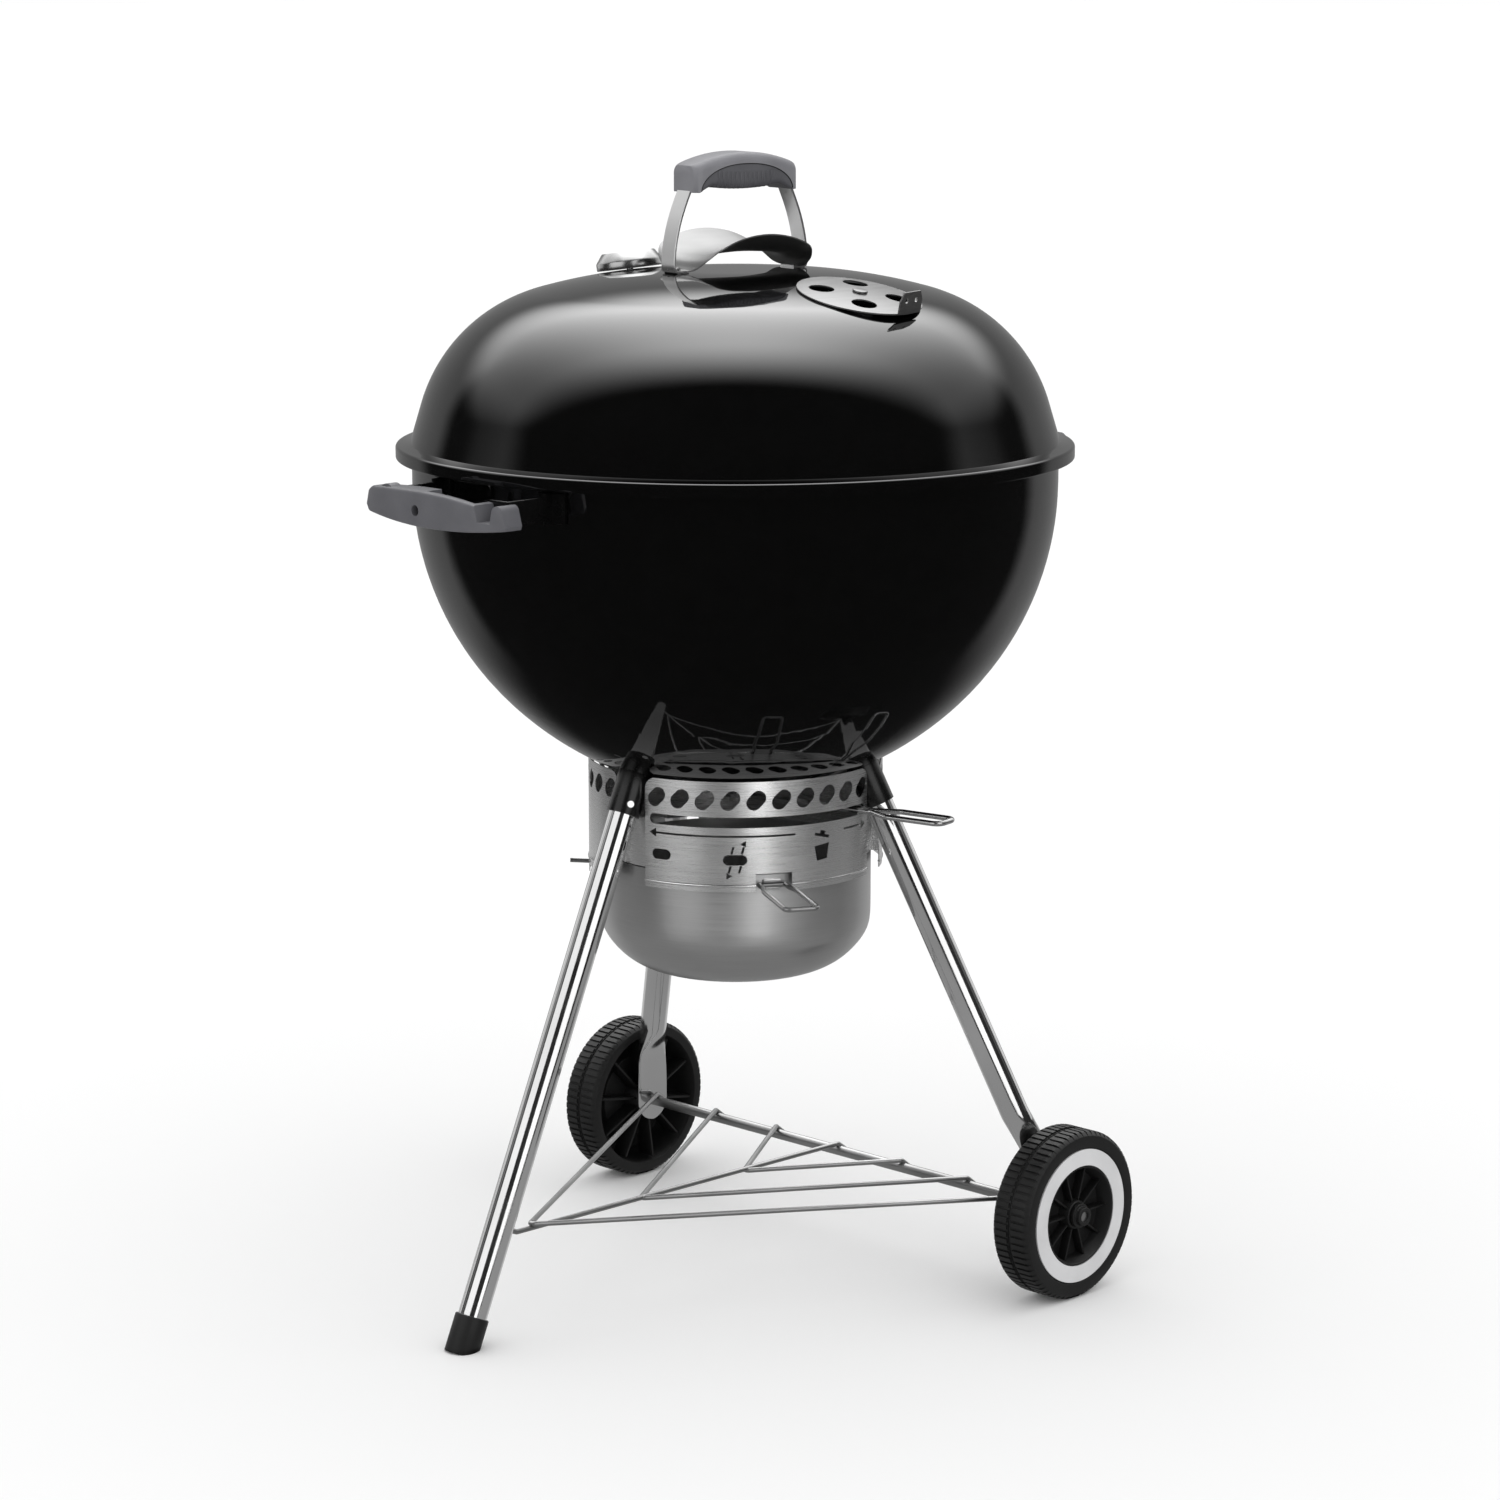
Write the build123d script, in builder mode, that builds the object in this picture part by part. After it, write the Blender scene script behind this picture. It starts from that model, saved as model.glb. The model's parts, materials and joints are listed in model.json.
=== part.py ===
"""Kettle charcoal grill: enamelled bowl and lid on a three-legged stand with two wheels.

Frame: origin on the floor under the kettle axis, +Z up, axle along X, wheels on the +Y side.
"""
import os
from math import asin, cos, degrees, radians, sin, sqrt

from build123d import *

os.makedirs("parts", exist_ok=True)

# ---- kettle ----
SHEET = 1.6                 # enamelled steel
BOWL_R = 284.3              # outer radius of the bowl wall
BOWL_RIM_Z = 752.9          # top of the bowl's rolled rim
BOWL_WALL_Z = 721.6         # where the wall turns into the bottom
BOWL_ARC1_R = 271.0
BOWL_ARC2_C, BOWL_ARC2_R = (-4.8, 740.2), 297.0
BOWL_TURN = 45.7            # degrees swept by the first arc
LID_RIM_Z = 753.0           # underside of the lid's flange
LID_FLANGE_R = 298.4
LID_SKIRT_Z = 743.0
LID_WALL = ((285.4, 755.6), (276.2, 787.2))
LID_ARC1_C, LID_ARC1_R = (136.8, 747.9), 144.87
LID_KNEE = (175.6, 887.4)
LID_CROWN_R, LID_FLAT_R, LID_TOP_Z = 488.74, 44.7, 905.3

# ---- stand ----
LEG_R, LEG_WALL = 12.7, 1.2
SOCKET_R = 14.6
FRONT_LEG = ((0, -127.0, 471.0), (0, -322.4, 32.7))
REAR_LEG = ((113.1, 45.2, 470.0), (249.4, 135.2, 106.4))
LEG_AZ = (-90.0, 23.3, 156.7)
WHEEL_R, WHEEL_W, WHEEL_X = 76.2, 40.0, 273.0
AXLE_Y, AXLE_Z, AXLE_R, RUN = 138.0, 76.2, 4.75, 0.05
SHELF_R = 2.3

# ---- ash system ----
RING_R, RING_T, RING_BOTTOM, RING_TOP = 131.5, 1.0, 377.0, 474.4
PANEL_GAP = 7.4             # half angle of the gap at each leg
BUCKET_R, BUCKET_T, BUCKET_TOP, BUCKET_BOTTOM = 121.4, 1.2, 390.0, 279.0
LEVER_AZ, LEVER_Z = 9.5, 438.5
NOTCH_AZ = -31.0
VENT_AZ = (-33.0, 87.0, 207.0)

# ---- lid fittings ----
HANDLE_AZ = 79.5
GRIP_L, GRIP_W = 109.0, 38.0
DAMPER_AZ, DAMPER_AT, DAMPER_R = -3.0, 155.0, 54.0
GAUGE_AZ, GAUGE_AT, GAUGE_R = -172.0, 116.0, 28.9


def polar(r, az, z=0.0):
    return (r * cos(radians(az)), r * sin(radians(az)), z)


def radial_plane(az, r, z):
    """Plane facing outwards at an azimuth: local x runs tangentially, local y runs up."""
    a = radians(az)
    return Plane(origin=polar(r, az, z), x_dir=(-sin(a), cos(a), 0), z_dir=(cos(a), sin(a), 0))


def side_plane(az):
    """Vertical plane through the kettle axis: local x runs outwards, local y runs up."""
    a = radians(az)
    return Plane(origin=(0, 0, 0), x_dir=(cos(a), sin(a), 0), z_dir=(sin(a), -cos(a), 0))


def on_crown(az, r, lift=0.0):
    """Plane tangent to the lid's crown, its local x pointing downhill."""
    t = asin((r - LID_FLAT_R) / LID_CROWN_R)
    z = LID_TOP_Z - LID_CROWN_R * (1 - cos(t))
    n = Vector(sin(t) * cos(radians(az)), sin(t) * sin(radians(az)), cos(t))
    x = Vector(cos(t) * cos(radians(az)), cos(t) * sin(radians(az)), -sin(t))
    return Plane(origin=Vector(*polar(r, az, z)) + n * lift, x_dir=x, z_dir=n)


def sector(r_in, r_out, a0, a1):
    """Flat ring sector about the kettle axis."""
    with BuildSketch() as shape:
        with BuildLine():
            CenterArc((0, 0), r_out, a0, a1 - a0)
            Line(polar(r_out, a1)[:2], polar(r_in, a1)[:2])
            CenterArc((0, 0), r_in, a1, a0 - a1)
            Line(polar(r_in, a0)[:2], polar(r_out, a0)[:2])
        make_face()
    return shape.sketch


def bar(start, end, radius):
    """Solid round bar between two points."""
    axis = Vector(*end) - Vector(*start)
    with BuildPart() as rod:
        with BuildSketch(Plane(origin=start, z_dir=axis)):
            Circle(radius)
        extrude(amount=axis.length)
    return rod.part


def wire(points, radius, bend):
    """Round wire bent along a path."""
    with BuildPart() as bent:
        with BuildLine() as path:
            FilletPolyline(*points, radius=bend)
        with BuildSketch(Plane(origin=path.line @ 0, z_dir=path.line % 0)):
            Circle(radius)
        sweep(path=path.line)
    return bent.part


def arc_end(centre, radius, angle):
    return (centre[0] + radius * cos(radians(angle)), centre[1] + radius * sin(radians(angle)))


def bowl_profile(inset, top_z, r_axis=0.0):
    """Half section of the bowl, inset from its outer face."""
    c1 = (BOWL_R - BOWL_ARC1_R, BOWL_WALL_Z)
    r1, r2 = BOWL_ARC1_R - inset, BOWL_ARC2_R - inset
    last = degrees(asin((r_axis - BOWL_ARC2_C[0]) / r2))
    p = [(BOWL_R - inset, top_z), (BOWL_R - inset, BOWL_WALL_Z)]
    a = [arc_end(c1, r1, -BOWL_TURN / 2), arc_end(c1, r1, -BOWL_TURN)]
    mid = -(BOWL_TURN + (90 - last)) / 2
    b = [arc_end(BOWL_ARC2_C, r2, mid), arc_end(BOWL_ARC2_C, r2, -(90 - last))]
    return p, a, b


def bowl_body(inset, top_z):
    """Filled bowl shape, for the shell and for trimming what meets it."""
    p, a, b = bowl_profile(inset, top_z)
    with BuildPart() as body:
        with BuildSketch(Plane.XZ):
            with BuildLine():
                Line(p[0], p[1])
                ThreePointArc(p[1], a[0], a[1])
                ThreePointArc(a[1], b[0], b[1])
                Line(b[1], (0, top_z))
                Line((0, top_z), p[0])
            make_face()
        revolve(axis=Axis.Z)
    return body.part


# ---------------------------------------------------------------- bowl
bowl_solid = bowl_body(0, BOWL_RIM_Z - 1)
bowl_cavity = bowl_body(SHEET, BOWL_RIM_Z + 5)

with BuildPart() as bowl:
    add(bowl_body(0, BOWL_RIM_Z - SHEET))
    with BuildSketch(Plane.XY.offset(BOWL_RIM_Z - SHEET)):
        Circle(BOWL_R + 7.4)
    extrude(amount=SHEET)
    with BuildSketch(Plane.XY.offset(BOWL_RIM_Z - 6)):
        Circle(BOWL_R + 7.4)
        Circle(BOWL_R + 7.4 - SHEET, mode=Mode.SUBTRACT)
    extrude(amount=6)
    add(bowl_cavity, mode=Mode.SUBTRACT)
    for az in VENT_AZ:
        with BuildSketch(Plane.XY.offset(430)) as cutout:
            add(sector(44, 96, az - 13, az + 13))
            fillet(cutout.vertices(), 5)
        extrude(amount=60, mode=Mode.SUBTRACT)
    with BuildSketch(Plane.XY.offset(430)):
        Circle(9)
    extrude(amount=40, mode=Mode.SUBTRACT)
bowl.part.label = "bowl"

with BuildPart() as damper_bushing:
    with BuildSketch(Plane.XZ):
        with BuildLine():
            Polyline((6 + RUN, 440.6), (13, 440.6), (13, 443), (9, 443.4), (9, 445.0),
                     (6 + RUN, 445.0), (6 + RUN, 440.6))
        make_face()
    revolve(axis=Axis.Z)
damper_bushing.part.label = "damper_bushing"

# Tabs inside the bowl that carry the two grates.
UPPER_TAB_Z, LOWER_TAB_Z = 731.0, 596.0
with BuildPart() as grate_tabs:
    for az in (0, 90, 180, 270):
        for r_in, r_out, z in ((262, 292, UPPER_TAB_Z), (226, 262, LOWER_TAB_Z)):
            with BuildSketch(Plane.XY.rotated((0, 0, az + 12)).offset(z)):
                with Locations(((r_in + r_out) / 2, 0)):
                    RectangleRounded(r_out - r_in, 22, 4)
            extrude(amount=2)
    add(bowl_cavity, mode=Mode.INTERSECT)
grate_tabs.part.label = "grate_tabs"

# ---------------------------------------------------------------- legs and sockets


def mirrored_x(p):
    return (-p[0], p[1], p[2])


LEGS = [FRONT_LEG, REAR_LEG, tuple(mirrored_x(p) for p in REAR_LEG)]


def along(leg, t):
    """Point a distance t down a leg from its top."""
    a, b = Vector(*leg[0]), Vector(*leg[1])
    return a + (b - a).normalized() * t


with BuildPart() as leg_sockets:
    for leg in LEGS:
        add(bar(along(leg, -22), along(leg, 34), SOCKET_R))
    add(bowl_solid, mode=Mode.SUBTRACT)
    for leg in LEGS:
        add(bar(along(leg, 0), along(leg, 40), LEG_R), mode=Mode.SUBTRACT)
leg_sockets.part.label = "leg_sockets"

with BuildPart() as leg_buttons:
    for leg, az in zip(LEGS, LEG_AZ):
        line = (Vector(*leg[1]) - Vector(*leg[0])).normalized()
        out = Vector(*polar(1, az + 57))
        out = (out - line * out.dot(line)).normalized()
        at = along(leg, 25)
        add(bar(at + out * SOCKET_R, at + out * (SOCKET_R + 1.6), 3.4))
leg_buttons.part.label = "leg_buttons"

with BuildPart() as front_leg:
    add(bar(*FRONT_LEG, LEG_R))
    add(bar(*FRONT_LEG, LEG_R - LEG_WALL), mode=Mode.SUBTRACT)
front_leg.part.label = "front_leg"

TONGUE_X, TONGUE_T = 246.0, 3.0
with BuildPart() as rear_legs:
    for side, leg in ((1, LEGS[1]), (-1, LEGS[2])):
        low = along(leg, 420)
        add(bar(leg[0], low, LEG_R))
    for side in (1, -1):
        with BuildSketch(Plane.YZ.offset(side * TONGUE_X)):
            with Locations((AXLE_Y, 330)):
                Rectangle(200, 700)
        extrude(amount=side * 60, mode=Mode.SUBTRACT)
    for leg in LEGS[1:]:
        add(bar(along(leg, -5), along(leg, 425), LEG_R - LEG_WALL), mode=Mode.SUBTRACT)
    for side in (1, -1):
        with BuildSketch(Plane.YZ.offset(side * TONGUE_X)) as tongue:
            with BuildLine():
                Polyline((AXLE_Y - 19, AXLE_Z), (AXLE_Y - 17, 122), (AXLE_Y - 10, 136),
                         (AXLE_Y + 8, 136), (AXLE_Y + 16, 122), (AXLE_Y + 19, AXLE_Z))
                ThreePointArc((AXLE_Y + 19, AXLE_Z), (AXLE_Y, AXLE_Z - 19), (AXLE_Y - 19, AXLE_Z))
            make_face()
            with Locations((AXLE_Y, AXLE_Z)):
                Circle(AXLE_R, mode=Mode.SUBTRACT)
        extrude(amount=side * TONGUE_T)
rear_legs.part.label = "rear_legs"

# Cap on the front leg's end, cut level with the floor where it stands.
cap_top = Vector(*FRONT_LEG[1])
cap_dir = (cap_top - Vector(*FRONT_LEG[0])).normalized()
with BuildPart() as foot_cap:
    add(bar(cap_top - cap_dir * 18, cap_top + cap_dir * 32, LEG_R + 2.2))
    add(bar(cap_top - cap_dir * 19, cap_top, LEG_R), mode=Mode.SUBTRACT)
    with BuildSketch(Plane.XY):
        with Locations((0, -330)):
            Rectangle(120, 120)
    extrude(amount=-40, mode=Mode.SUBTRACT)
foot_cap.part.label = "foot_cap"

# ---------------------------------------------------------------- axle and wheels
AXLE_HALF = WHEEL_X + WHEEL_W / 2 + 3
with BuildPart() as axle:
    add(bar((-AXLE_HALF, AXLE_Y, AXLE_Z), (AXLE_HALF, AXLE_Y, AXLE_Z), AXLE_R))
axle.part.label = "axle"

with BuildPart() as axle_caps:
    for side in (1, -1):
        with BuildSketch(Plane(origin=(side * (WHEEL_X + 16.5), AXLE_Y, AXLE_Z), x_dir=(0, 1, 0),
                               z_dir=(side, 0, 0))):
            Circle(11)
            Circle(AXLE_R, mode=Mode.SUBTRACT)
        extrude(amount=4)
        with BuildSketch(Plane(origin=(side * (WHEEL_X + 20.5), AXLE_Y, AXLE_Z), x_dir=(0, 1, 0),
                               z_dir=(side, 0, 0))):
            Circle(8.5)
            Circle(AXLE_R, mode=Mode.SUBTRACT)
        extrude(amount=4.5)
axle_caps.part.label = "axle_caps"

with BuildPart() as axle_spacers:
    for side in (1, -1):
        with BuildSketch(Plane(origin=(side * (TONGUE_X + TONGUE_T), AXLE_Y, AXLE_Z),
                               x_dir=(0, 1, 0), z_dir=(side, 0, 0))):
            Circle(9)
            Circle(AXLE_R, mode=Mode.SUBTRACT)
        extrude(amount=WHEEL_X - 20 - TONGUE_X - TONGUE_T - 0.3)
axle_spacers.part.label = "axle_spacers"


def wheel_nodes(side):
    """Moulded wheel: tread with two rows of lugs, webs with ribs, and the pale face ring."""
    c = side * WHEEL_X
    half = WHEEL_W / 2
    section = Plane(origin=(c, AXLE_Y, AXLE_Z), x_dir=(side, 0, 0), z_dir=(0, -1, 0))
    spin = Axis((c, AXLE_Y, AXLE_Z), (1, 0, 0))
    face = Plane(origin=(c, AXLE_Y, AXLE_Z), x_dir=(0, 1, 0), z_dir=(side, 0, 0))
    with BuildPart() as wheel:
        with BuildSketch(section):
            with BuildLine():
                Polyline((-half, 68), (-half, 72), (-half + 4, 76.2), (-1.6, 76.2), (-1.6, 73.6),
                         (1.6, 73.6), (1.6, 76.2), (half - 4, 76.2), (half, 72), (half, 62),
                         (half - 1.5, 61.2), (half - 1.5, 45), (half, 44.2), (half, 36),
                         (half - 2, 34), (half - 13, 29), (half - 13, 14), (half - 4, 12.5),
                         (half - 4, AXLE_R + RUN), (-half, AXLE_R + RUN), (-half, 14),
                         (-1, 16), (-1, 36), (half - 6, 40), (half - 6, 59), (-half, 64),
                         (-half, 68))
            make_face()
        revolve(axis=spin)
        # outer face ribs between the hub and the rim
        for k in range(10):
            with BuildSketch(face.offset(half - 13)):
                with PolarLocations(23.5, 1, start_angle=36 * k):
                    Rectangle(20, 3)
            extrude(amount=9)
        # inner face ribs
        for k in range(10):
            with BuildSketch(face.offset(-half + 2)):
                with PolarLocations(38, 1, start_angle=36 * k + 10):
                    Rectangle(48, 2.4)
            extrude(amount=19)
        # tread lugs: shallow cross grooves in both rows
        for row in (-1, 1):
            with BuildSketch(face.offset(3.2 if row > 0 else -half + 0.001)):
                with PolarLocations(WHEEL_R, 36, start_angle=2.5 * row):
                    Rectangle(3.2, 2.6)
            extrude(amount=half - 3.2, mode=Mode.SUBTRACT)
    with BuildPart() as ring:
        with BuildSketch(face.offset(half - 1.5)):
            Circle(60.4)
            Circle(45.6, mode=Mode.SUBTRACT)
        extrude(amount=1.5)
    return wheel, ring


wheel_right, wheel_right_ring = wheel_nodes(1)
wheel_left, wheel_left_ring = wheel_nodes(-1)
wheel_right.part.label, wheel_right_ring.part.label = "wheel_right", "wheel_right_ring"
wheel_left.part.label, wheel_left_ring.part.label = "wheel_left", "wheel_left_ring"

# ---------------------------------------------------------------- wire shelf
with BuildPart() as wire_shelf:
    over = AXLE_Z + AXLE_R + SHELF_R
    for k, (y, z) in enumerate(((11, 84), (-122, 87.5), (-257, 94)), start=1):
        x = 80.0 * k
        ends = [(s * x, AXLE_Y - 1, over) for s in (-1, 1)]
        tips = [(s * x, AXLE_Y + 8.2, over - 7) for s in (-1, 1)]
        add(wire([tips[0], ends[0], (0, y, z), ends[1], tips[1]], SHELF_R, 3.0))
    add(wire([(0, AXLE_Y + 8.2, over - 7), (0, AXLE_Y - 1, over - 0.4), (0, -272, 90.6),
              (0, -286.8, 96.8)], SHELF_R, 3.0))
    add(axle.part, mode=Mode.SUBTRACT)
    add(bar(*FRONT_LEG, LEG_R), mode=Mode.SUBTRACT)
wire_shelf.part.label = "wire_shelf"

# ---------------------------------------------------------------- ash ring
BAND_R, BAND_LOW, BAND_HIGH = 124.0, 392.0, 436.5


def panel_gap(az):
    """Opening between two panels, with the panels' rounded top corners."""
    w, r = RING_R * sin(radians(PANEL_GAP)), 11.0
    low, high = RING_BOTTOM - 1, RING_TOP
    k = r * (1 - sqrt(0.5))
    with BuildPart() as gap:
        with BuildSketch(radial_plane(az, RING_R + 20, 0)):
            with BuildLine():
                Polyline((-w, low), (-w, high - r))
                ThreePointArc((-w, high - r), (-w - k, high - k), (-w - r, high))
                Polyline((-w - r, high), (-w - r, high + 5), (w + r, high + 5), (w + r, high))
                ThreePointArc((w + r, high), (w + k, high - k), (w, high - r))
                Polyline((w, high - r), (w, low), (-w, low))
            make_face()
        extrude(amount=-40)
    return gap.part


with BuildPart() as ash_ring:
    with BuildSketch(Plane.XY.offset(RING_BOTTOM)):
        Circle(RING_R)
        Circle(RING_R - RING_T, mode=Mode.SUBTRACT)
    extrude(amount=RING_TOP - RING_BOTTOM)
    # rolled bead above the bottom edge
    with BuildSketch(Plane.XZ):
        with Locations((RING_R - 0.3, RING_BOTTOM + 5.5)):
            Circle(1.2)
    revolve(axis=Axis.Z)
    for az in LEG_AZ:
        add(panel_gap(az), mode=Mode.SUBTRACT)
    # recessed bands behind the legs, joined to the panels by short returns
    for az in LEG_AZ:
        a = PANEL_GAP + 0.4
        with BuildSketch(Plane.XY.offset(BAND_LOW)):
            add(sector(BAND_R - RING_T, BAND_R, az - a, az + a))
            add(sector(BAND_R - RING_T, RING_R - 0.2, az - a - 0.45, az - a + 0.1))
            add(sector(BAND_R - RING_T, RING_R - 0.2, az + a - 0.1, az + a + 0.45))
        extrude(amount=BAND_HIGH - BAND_LOW)
    for leg in LEGS:
        add(bar(along(leg, -25), along(leg, 70), SOCKET_R + 0.6), mode=Mode.SUBTRACT)
    # vent holes in the three panels: short slanted slots
    for first, last in ((-77.3, 11.2), (36.6, 143.4), (168.8, 257.3)):
        for k in range(10):
            az = first + (last - first) * k / 9
            with BuildSketch(radial_plane(az, RING_R, 458)):
                SlotCenterToCenter(6.0, 13.2, rotation=45)
            extrude(amount=8, both=True, mode=Mode.SUBTRACT)
    # lever slot
    slot_a, slot_b, slot_h = -80.3, 13.6, 4.6
    with BuildSketch(Plane.XY.offset(LEVER_Z - slot_h)):
        add(sector(RING_R - 6, RING_R + 6, slot_a + 2, slot_b - 2))
    extrude(amount=2 * slot_h, mode=Mode.SUBTRACT)
    for az in (slot_a + 2, slot_b - 2):
        with BuildSketch(radial_plane(az, RING_R, LEVER_Z)):
            Circle(slot_h)
        extrude(amount=8, both=True, mode=Mode.SUBTRACT)
    # arrows below the slot: lines on the cylinder and heads
    for a0, a1, head, z in ((-77.5, -22.5, -80.6, 426.3), (0.2, 11, 14.2, 425.0)):
        with BuildSketch(Plane.XY.offset(z - 0.9)):
            add(sector(RING_R - 4, RING_R + 4, a0, a1))
        extrude(amount=1.8, mode=Mode.SUBTRACT)
        tail = a0 if head < a0 else a1
        sign = 1 if head < a0 else -1
        with BuildSketch(radial_plane(tail, RING_R, z)):
            with BuildLine():
                Polyline((0, -4), (-6.8 * sign, 0), (0, 4), (0, -4))
            make_face()
        extrude(amount=4, both=True, mode=Mode.SUBTRACT)
    # pictograms: closed vent, burning grill, ash bin
    with BuildSketch(radial_plane(-75.2, RING_R, 407.4)):
        SlotCenterToCenter(9.2, 9.2)
    extrude(amount=6, both=True, mode=Mode.SUBTRACT)
    with BuildSketch(radial_plane(-46.0, RING_R, 405.5)) as burning:
        SlotCenterToCenter(12.0, 9.2)
        for x, s in ((-3.5, 1), (5.5, 1), (-3.5, -1), (5.5, -1)):
            with Locations((x + 1.2 * s, 8.4 * s)):
                Rectangle(1.9, 6.8, rotation=-16)
        for x, z, turn in ((7.8, 14.2, 60), (-5.8, -14.2, 240)):
            with Locations((x, z)):
                RegularPolygon(3.4, 3, rotation=turn)
    extrude(amount=6, both=True, mode=Mode.SUBTRACT)
    with BuildSketch(radial_plane(-10.9, RING_R, 409.0)):
        with BuildLine():
            Polyline((-7.8, 4.6), (7.8, 6.6), (5.6, -7.4), (-5.2, -8.6), (-7.8, 4.6))
        make_face()
        with Locations((0.2, 13.6)):
            Rectangle(15.6, 2.6, rotation=-14)
        with Locations((0.9, 16.2)):
            Rectangle(5.6, 3.4, rotation=-14)
    extrude(amount=6, both=True, mode=Mode.SUBTRACT)
    # notch for the bucket's handle and lugs for the catch pins
    with BuildSketch(radial_plane(NOTCH_AZ, RING_R, 0)):
        with Locations((0, 383)):
            Rectangle(33, 20)
    extrude(amount=10, both=True, mode=Mode.SUBTRACT)
    for az in (-136.0, 104.0):
        with BuildSketch(Plane.XY.offset(369)):
            add(sector(RING_R - RING_T, RING_R, az - 4.8, az + 4.8))
        extrude(amount=9)
ash_ring.part.label = "ash_ring"

with BuildPart() as ring_pins:
    for az in (-136.0, 104.0):
        add(bar(polar(RING_R - 5.5, az, 375.5), polar(RING_R + 17, az, 376.5), 1.9))
    add(ash_ring.part, mode=Mode.SUBTRACT)
ring_pins.part.label = "ring_pins"

# Strips that hang the ring from the bowl.
with BuildPart() as ring_hangers:
    for az in (45.0, 135.0, 225.0):
        with BuildSketch(Plane.XY.rotated((0, 0, az)).offset(441)):
            with Locations((RING_R - RING_T - 1.0, 0)):
                Rectangle(2.0, 20)
        extrude(amount=50)
    with BuildSketch(Plane.XY.offset(430)):
        Circle(RING_R - RING_T)
    extrude(amount=70, mode=Mode.INTERSECT)
    add(bowl_solid, mode=Mode.SUBTRACT)
ring_hangers.part.label = "ring_hangers"

# ---------------------------------------------------------------- ash bucket
with BuildPart() as ash_bucket:
    low = BUCKET_BOTTOM
    with BuildSketch(Plane.XZ):
        with BuildLine():
            Polyline((0, low), (58, low + 1.2))
            Spline((58, low + 1.2), (100, low + 15.5), (117, low + 35), (BUCKET_R, low + 62),
                   tangents=((1, 0.06), (0, 1)))
            Polyline((BUCKET_R, low + 62), (BUCKET_R, BUCKET_TOP), (0, BUCKET_TOP), (0, low))
        make_face()
    revolve(axis=Axis.Z)
    offset(amount=-BUCKET_T, openings=ash_bucket.faces().sort_by(Axis.Z)[-1])
ash_bucket.part.label = "ash_bucket"

HINGE_Z, HINGE_R = 381.5, 125.2
hinge_dir = Vector(*polar(1, NOTCH_AZ + 90))
hinge_at = Vector(*polar(HINGE_R, NOTCH_AZ, HINGE_Z))
with BuildPart() as bucket_hinge:
    with BuildSketch(radial_plane(NOTCH_AZ, BUCKET_R - 3, HINGE_Z)):
        RectangleRounded(16, 10, 2)
    extrude(amount=6.6)
    with BuildSketch(Plane.XY.offset(HINGE_Z - 20)):
        Circle(BUCKET_R)
    extrude(amount=40, mode=Mode.SUBTRACT)
    add(bar(hinge_at - hinge_dir * 20, hinge_at + hinge_dir * 20, 2.2 + RUN), mode=Mode.SUBTRACT)
bucket_hinge.part.label = "bucket_hinge"

LOOP, LOOP_HALF, LOOP_NECK = 96.0, 14.5, 11.5
with BuildPart() as bucket_handle:
    out = Vector(*polar(1, NOTCH_AZ))
    add(bar(hinge_at - hinge_dir * LOOP_NECK, hinge_at + hinge_dir * LOOP_NECK, 2.2))
    add(wire([hinge_at + hinge_dir * t + out * r for t, r in (
        (-LOOP_NECK, 0), (-LOOP_NECK, 12), (-LOOP_HALF, 26), (-LOOP_HALF, LOOP),
        (LOOP_HALF, LOOP), (LOOP_HALF, 26), (LOOP_NECK, 12), (LOOP_NECK, 0))], 2.2, 5.0))
    for s in (-1, 1):
        with Locations(Location(hinge_at + hinge_dir * (LOOP_NECK * s))):
            Sphere(2.2)
bucket_handle.part.label = "bucket_handle"

# ---------------------------------------------------------------- sweeper
BLADE_OUT, BLADE_IN = BOWL_ARC2_R - SHEET - 0.4, BOWL_ARC2_R - SHEET - 1.9


def shell_z(radius, x):
    return BOWL_ARC2_C[1] - sqrt(radius ** 2 - (x - BOWL_ARC2_C[0]) ** 2)


with BuildPart() as sweeper_blades:
    with BuildSketch(Plane.XZ):
        with BuildLine():
            ThreePointArc((8, shell_z(BLADE_OUT, 8)), (54, shell_z(BLADE_OUT, 54)),
                          (101, shell_z(BLADE_OUT, 101)))
            Line((101, shell_z(BLADE_OUT, 101)), (101, shell_z(BLADE_IN, 101)))
            ThreePointArc((101, shell_z(BLADE_IN, 101)), (54, shell_z(BLADE_IN, 54)),
                          (8, shell_z(BLADE_IN, 8)))
            Line((8, shell_z(BLADE_IN, 8)), (8, shell_z(BLADE_OUT, 8)))
        make_face()
    revolve(axis=Axis.Z)
    with BuildSketch(Plane.XY.offset(440)):
        for az in VENT_AZ:
            add(sector(1, 112, az + 84 - 17, az + 84 + 17))
        Circle(16)
    extrude(amount=40, mode=Mode.INTERSECT)
    with BuildSketch(Plane.XY.offset(445.6)):
        Circle(13)
    extrude(amount=6.4)
    with BuildSketch(Plane.XY.offset(440)):
        Circle(6)
    extrude(amount=30, mode=Mode.SUBTRACT)
sweeper_blades.part.label = "sweeper_blades"

with BuildPart() as sweeper_shaft:
    with BuildSketch(Plane.XY.offset(431)):
        Circle(6)
    extrude(amount=25)
    with BuildSketch(Plane.XY.offset(452.2)):
        RegularPolygon(9, 6)
    extrude(amount=5.5)
sweeper_shaft.part.label = "sweeper_shaft"

with BuildPart() as sweeper_lever:
    turned = Plane.XY.rotated((0, 0, LEVER_AZ))
    with BuildSketch(turned.offset(LEVER_Z - 2.4)):
        Circle(12)
        with Locations((62, 0)):
            Rectangle(124, 11)
        Circle(6, mode=Mode.SUBTRACT)
    extrude(amount=3.2)
    loop = [(112, -3.2), (146, -3.2), (168, -13), (223, -13), (223, 13), (168, 13), (146, 3.2),
            (112, 3.2)]
    add(wire([turned.from_local_coords((x, y, LEVER_Z)) for x, y in loop], 2.4, 8.0))
sweeper_lever.part.label = "sweeper_lever"

# ---------------------------------------------------------------- grates


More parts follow.
